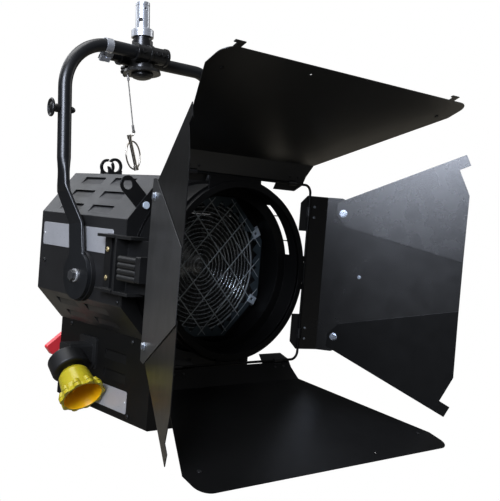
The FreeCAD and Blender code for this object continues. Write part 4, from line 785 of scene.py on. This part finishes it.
# ---- yoke fittings --------------------------------------------------------------------------
KNOB_R = 17.5
KNOB_OVAL = 0.70                       # the knob's short axis over its long one
KNOB_X = -27.5                         # middle of the knob's rolled rim, from the tube's axis
RIM_R = 2.4
RIM_THICK = 2.6


def make_thumb_screw(looks):
    """Oval pressed knob with a rolled rim, its boss, and the domed tip on the other side of the tube."""
    at = lamp(-0.185, -0.0235, 0.308)
    rim = []
    for i in range(8, -1, -1):
        a = math.pi * i / 8
        rim.append((KNOB_R - RIM_R + RIM_R * math.sin(a), KNOB_X + RIM_THICK * math.cos(a)))
    profile = [(0, KNOB_X + 3.3), (6, KNOB_X + 3.1)] + rim + [(6, KNOB_X - 1.9), (0, KNOB_X - 1.7)]
    knob = spin_piece("thumb_screw_knob", profile, at, HEAD_X, "thumb_screw", ["arm_thumb_screw"],
                      looks["cast"], segments=64, close=False)
    for vertex in knob.data.vertices:
        vertex.co.y = at.y + (vertex.co.y - at.y) * KNOB_OVAL
    shank = [(0, -25.5), (5, -25.5), (6.2, -22), (7.8, -18), (7.8, -12.9), (4, -12.9), (4, 12.9), (6.3, 12.9),
             (6.3, 14.5), (4.6, 19), (2.6, 21), (0, 21.4)]
    spin_piece("thumb_screw_shank", shank, at, HEAD_X, "thumb_screw", [], looks["cast"],
               segments=48, close=False)


RIVET_R = 2.4
RIVET_DOME = 1.1
RIVETS = {"maker_rear": (-169.0, 154.0, 68.0), "rating_rear": (-111.8, 20.5, -222.5),
          "rating_front": (-111.8, -83.5, -222.5)}


def make_rivets(looks):
    """Domed rivets at the ends of the two blank plates."""
    dome = []
    for degrees in (0, 20, 40, 60, 75):
        a = math.radians(degrees)
        dome.append((RIVET_R * math.cos(a), RIVET_DOME * math.sin(a)))
    dome.append((0, RIVET_DOME + 0.05))
    for name, spot in RIVETS.items():
        spin_piece("plate_rivet_" + name, dome, head(*spot), -HEAD_X, "head", [], looks["zinc"],
                   segments=20, close=False)


STRANDS = 3
STRAND_R = 0.60 * MM
STRAND_OFF = 0.62 * MM                 # each strand's middle from the cable's
LAY = 6.5 * MM                         # one turn of the strands takes this length
CABLE_STEPS = 260
STRAND_SIDES = 7


def make_cable(looks):
    """Three strands laid round the lanyard's core."""
    top = lamp(-0.0336, 0, 0.4005)
    end = lamp(-0.0194, 0, 0.297)
    length = (end - top).length
    axis = (end - top).normalized()
    side = axis.orthogonal().normalized()
    third = axis.cross(side)
    around = [2 * math.pi * j / STRAND_SIDES for j in range(STRAND_SIDES)]
    bm = bmesh.new()
    for strand in range(STRANDS):
        rings = []
        for i in range(CABLE_STEPS + 1):
            far = length * i / CABLE_STEPS
            a = 2 * math.pi * (far / LAY + strand / STRANDS)
            out = side * math.cos(a) + third * math.sin(a)
            spot = top + axis * far + out * STRAND_OFF
            ring = [spot + (out * math.cos(b) + axis * math.sin(b)) * STRAND_R for b in around]
            rings.append([bm.verts.new(point) for point in ring])
        for low, high in zip(rings, rings[1:]):
            for j in range(STRAND_SIDES):
                k = (j + 1) % STRAND_SIDES
                bm.faces.new((low[j], low[k], high[k], high[j]))
        bm.faces.new(rings[0])
        bm.faces.new(rings[-1])
    finish_piece("lanyard_strands", bm, "lanyard", [], [looks["cable"]])


# ---- the whole ------------------------------------------------------------------------------
looks = make_materials()
make_lens(looks)
make_guard(looks)
make_thumb_screw(looks)
make_cable(looks)
make_rivets(looks)
dress_cad(looks)
scene = bpy.context.scene
scene.view_settings.view_transform = "Standard"
scene.view_settings.gamma = GAMMA
make_floor(CAD_BOX[0].z - FLOOR_DROP)
make_camera()
make_world()
make_light()
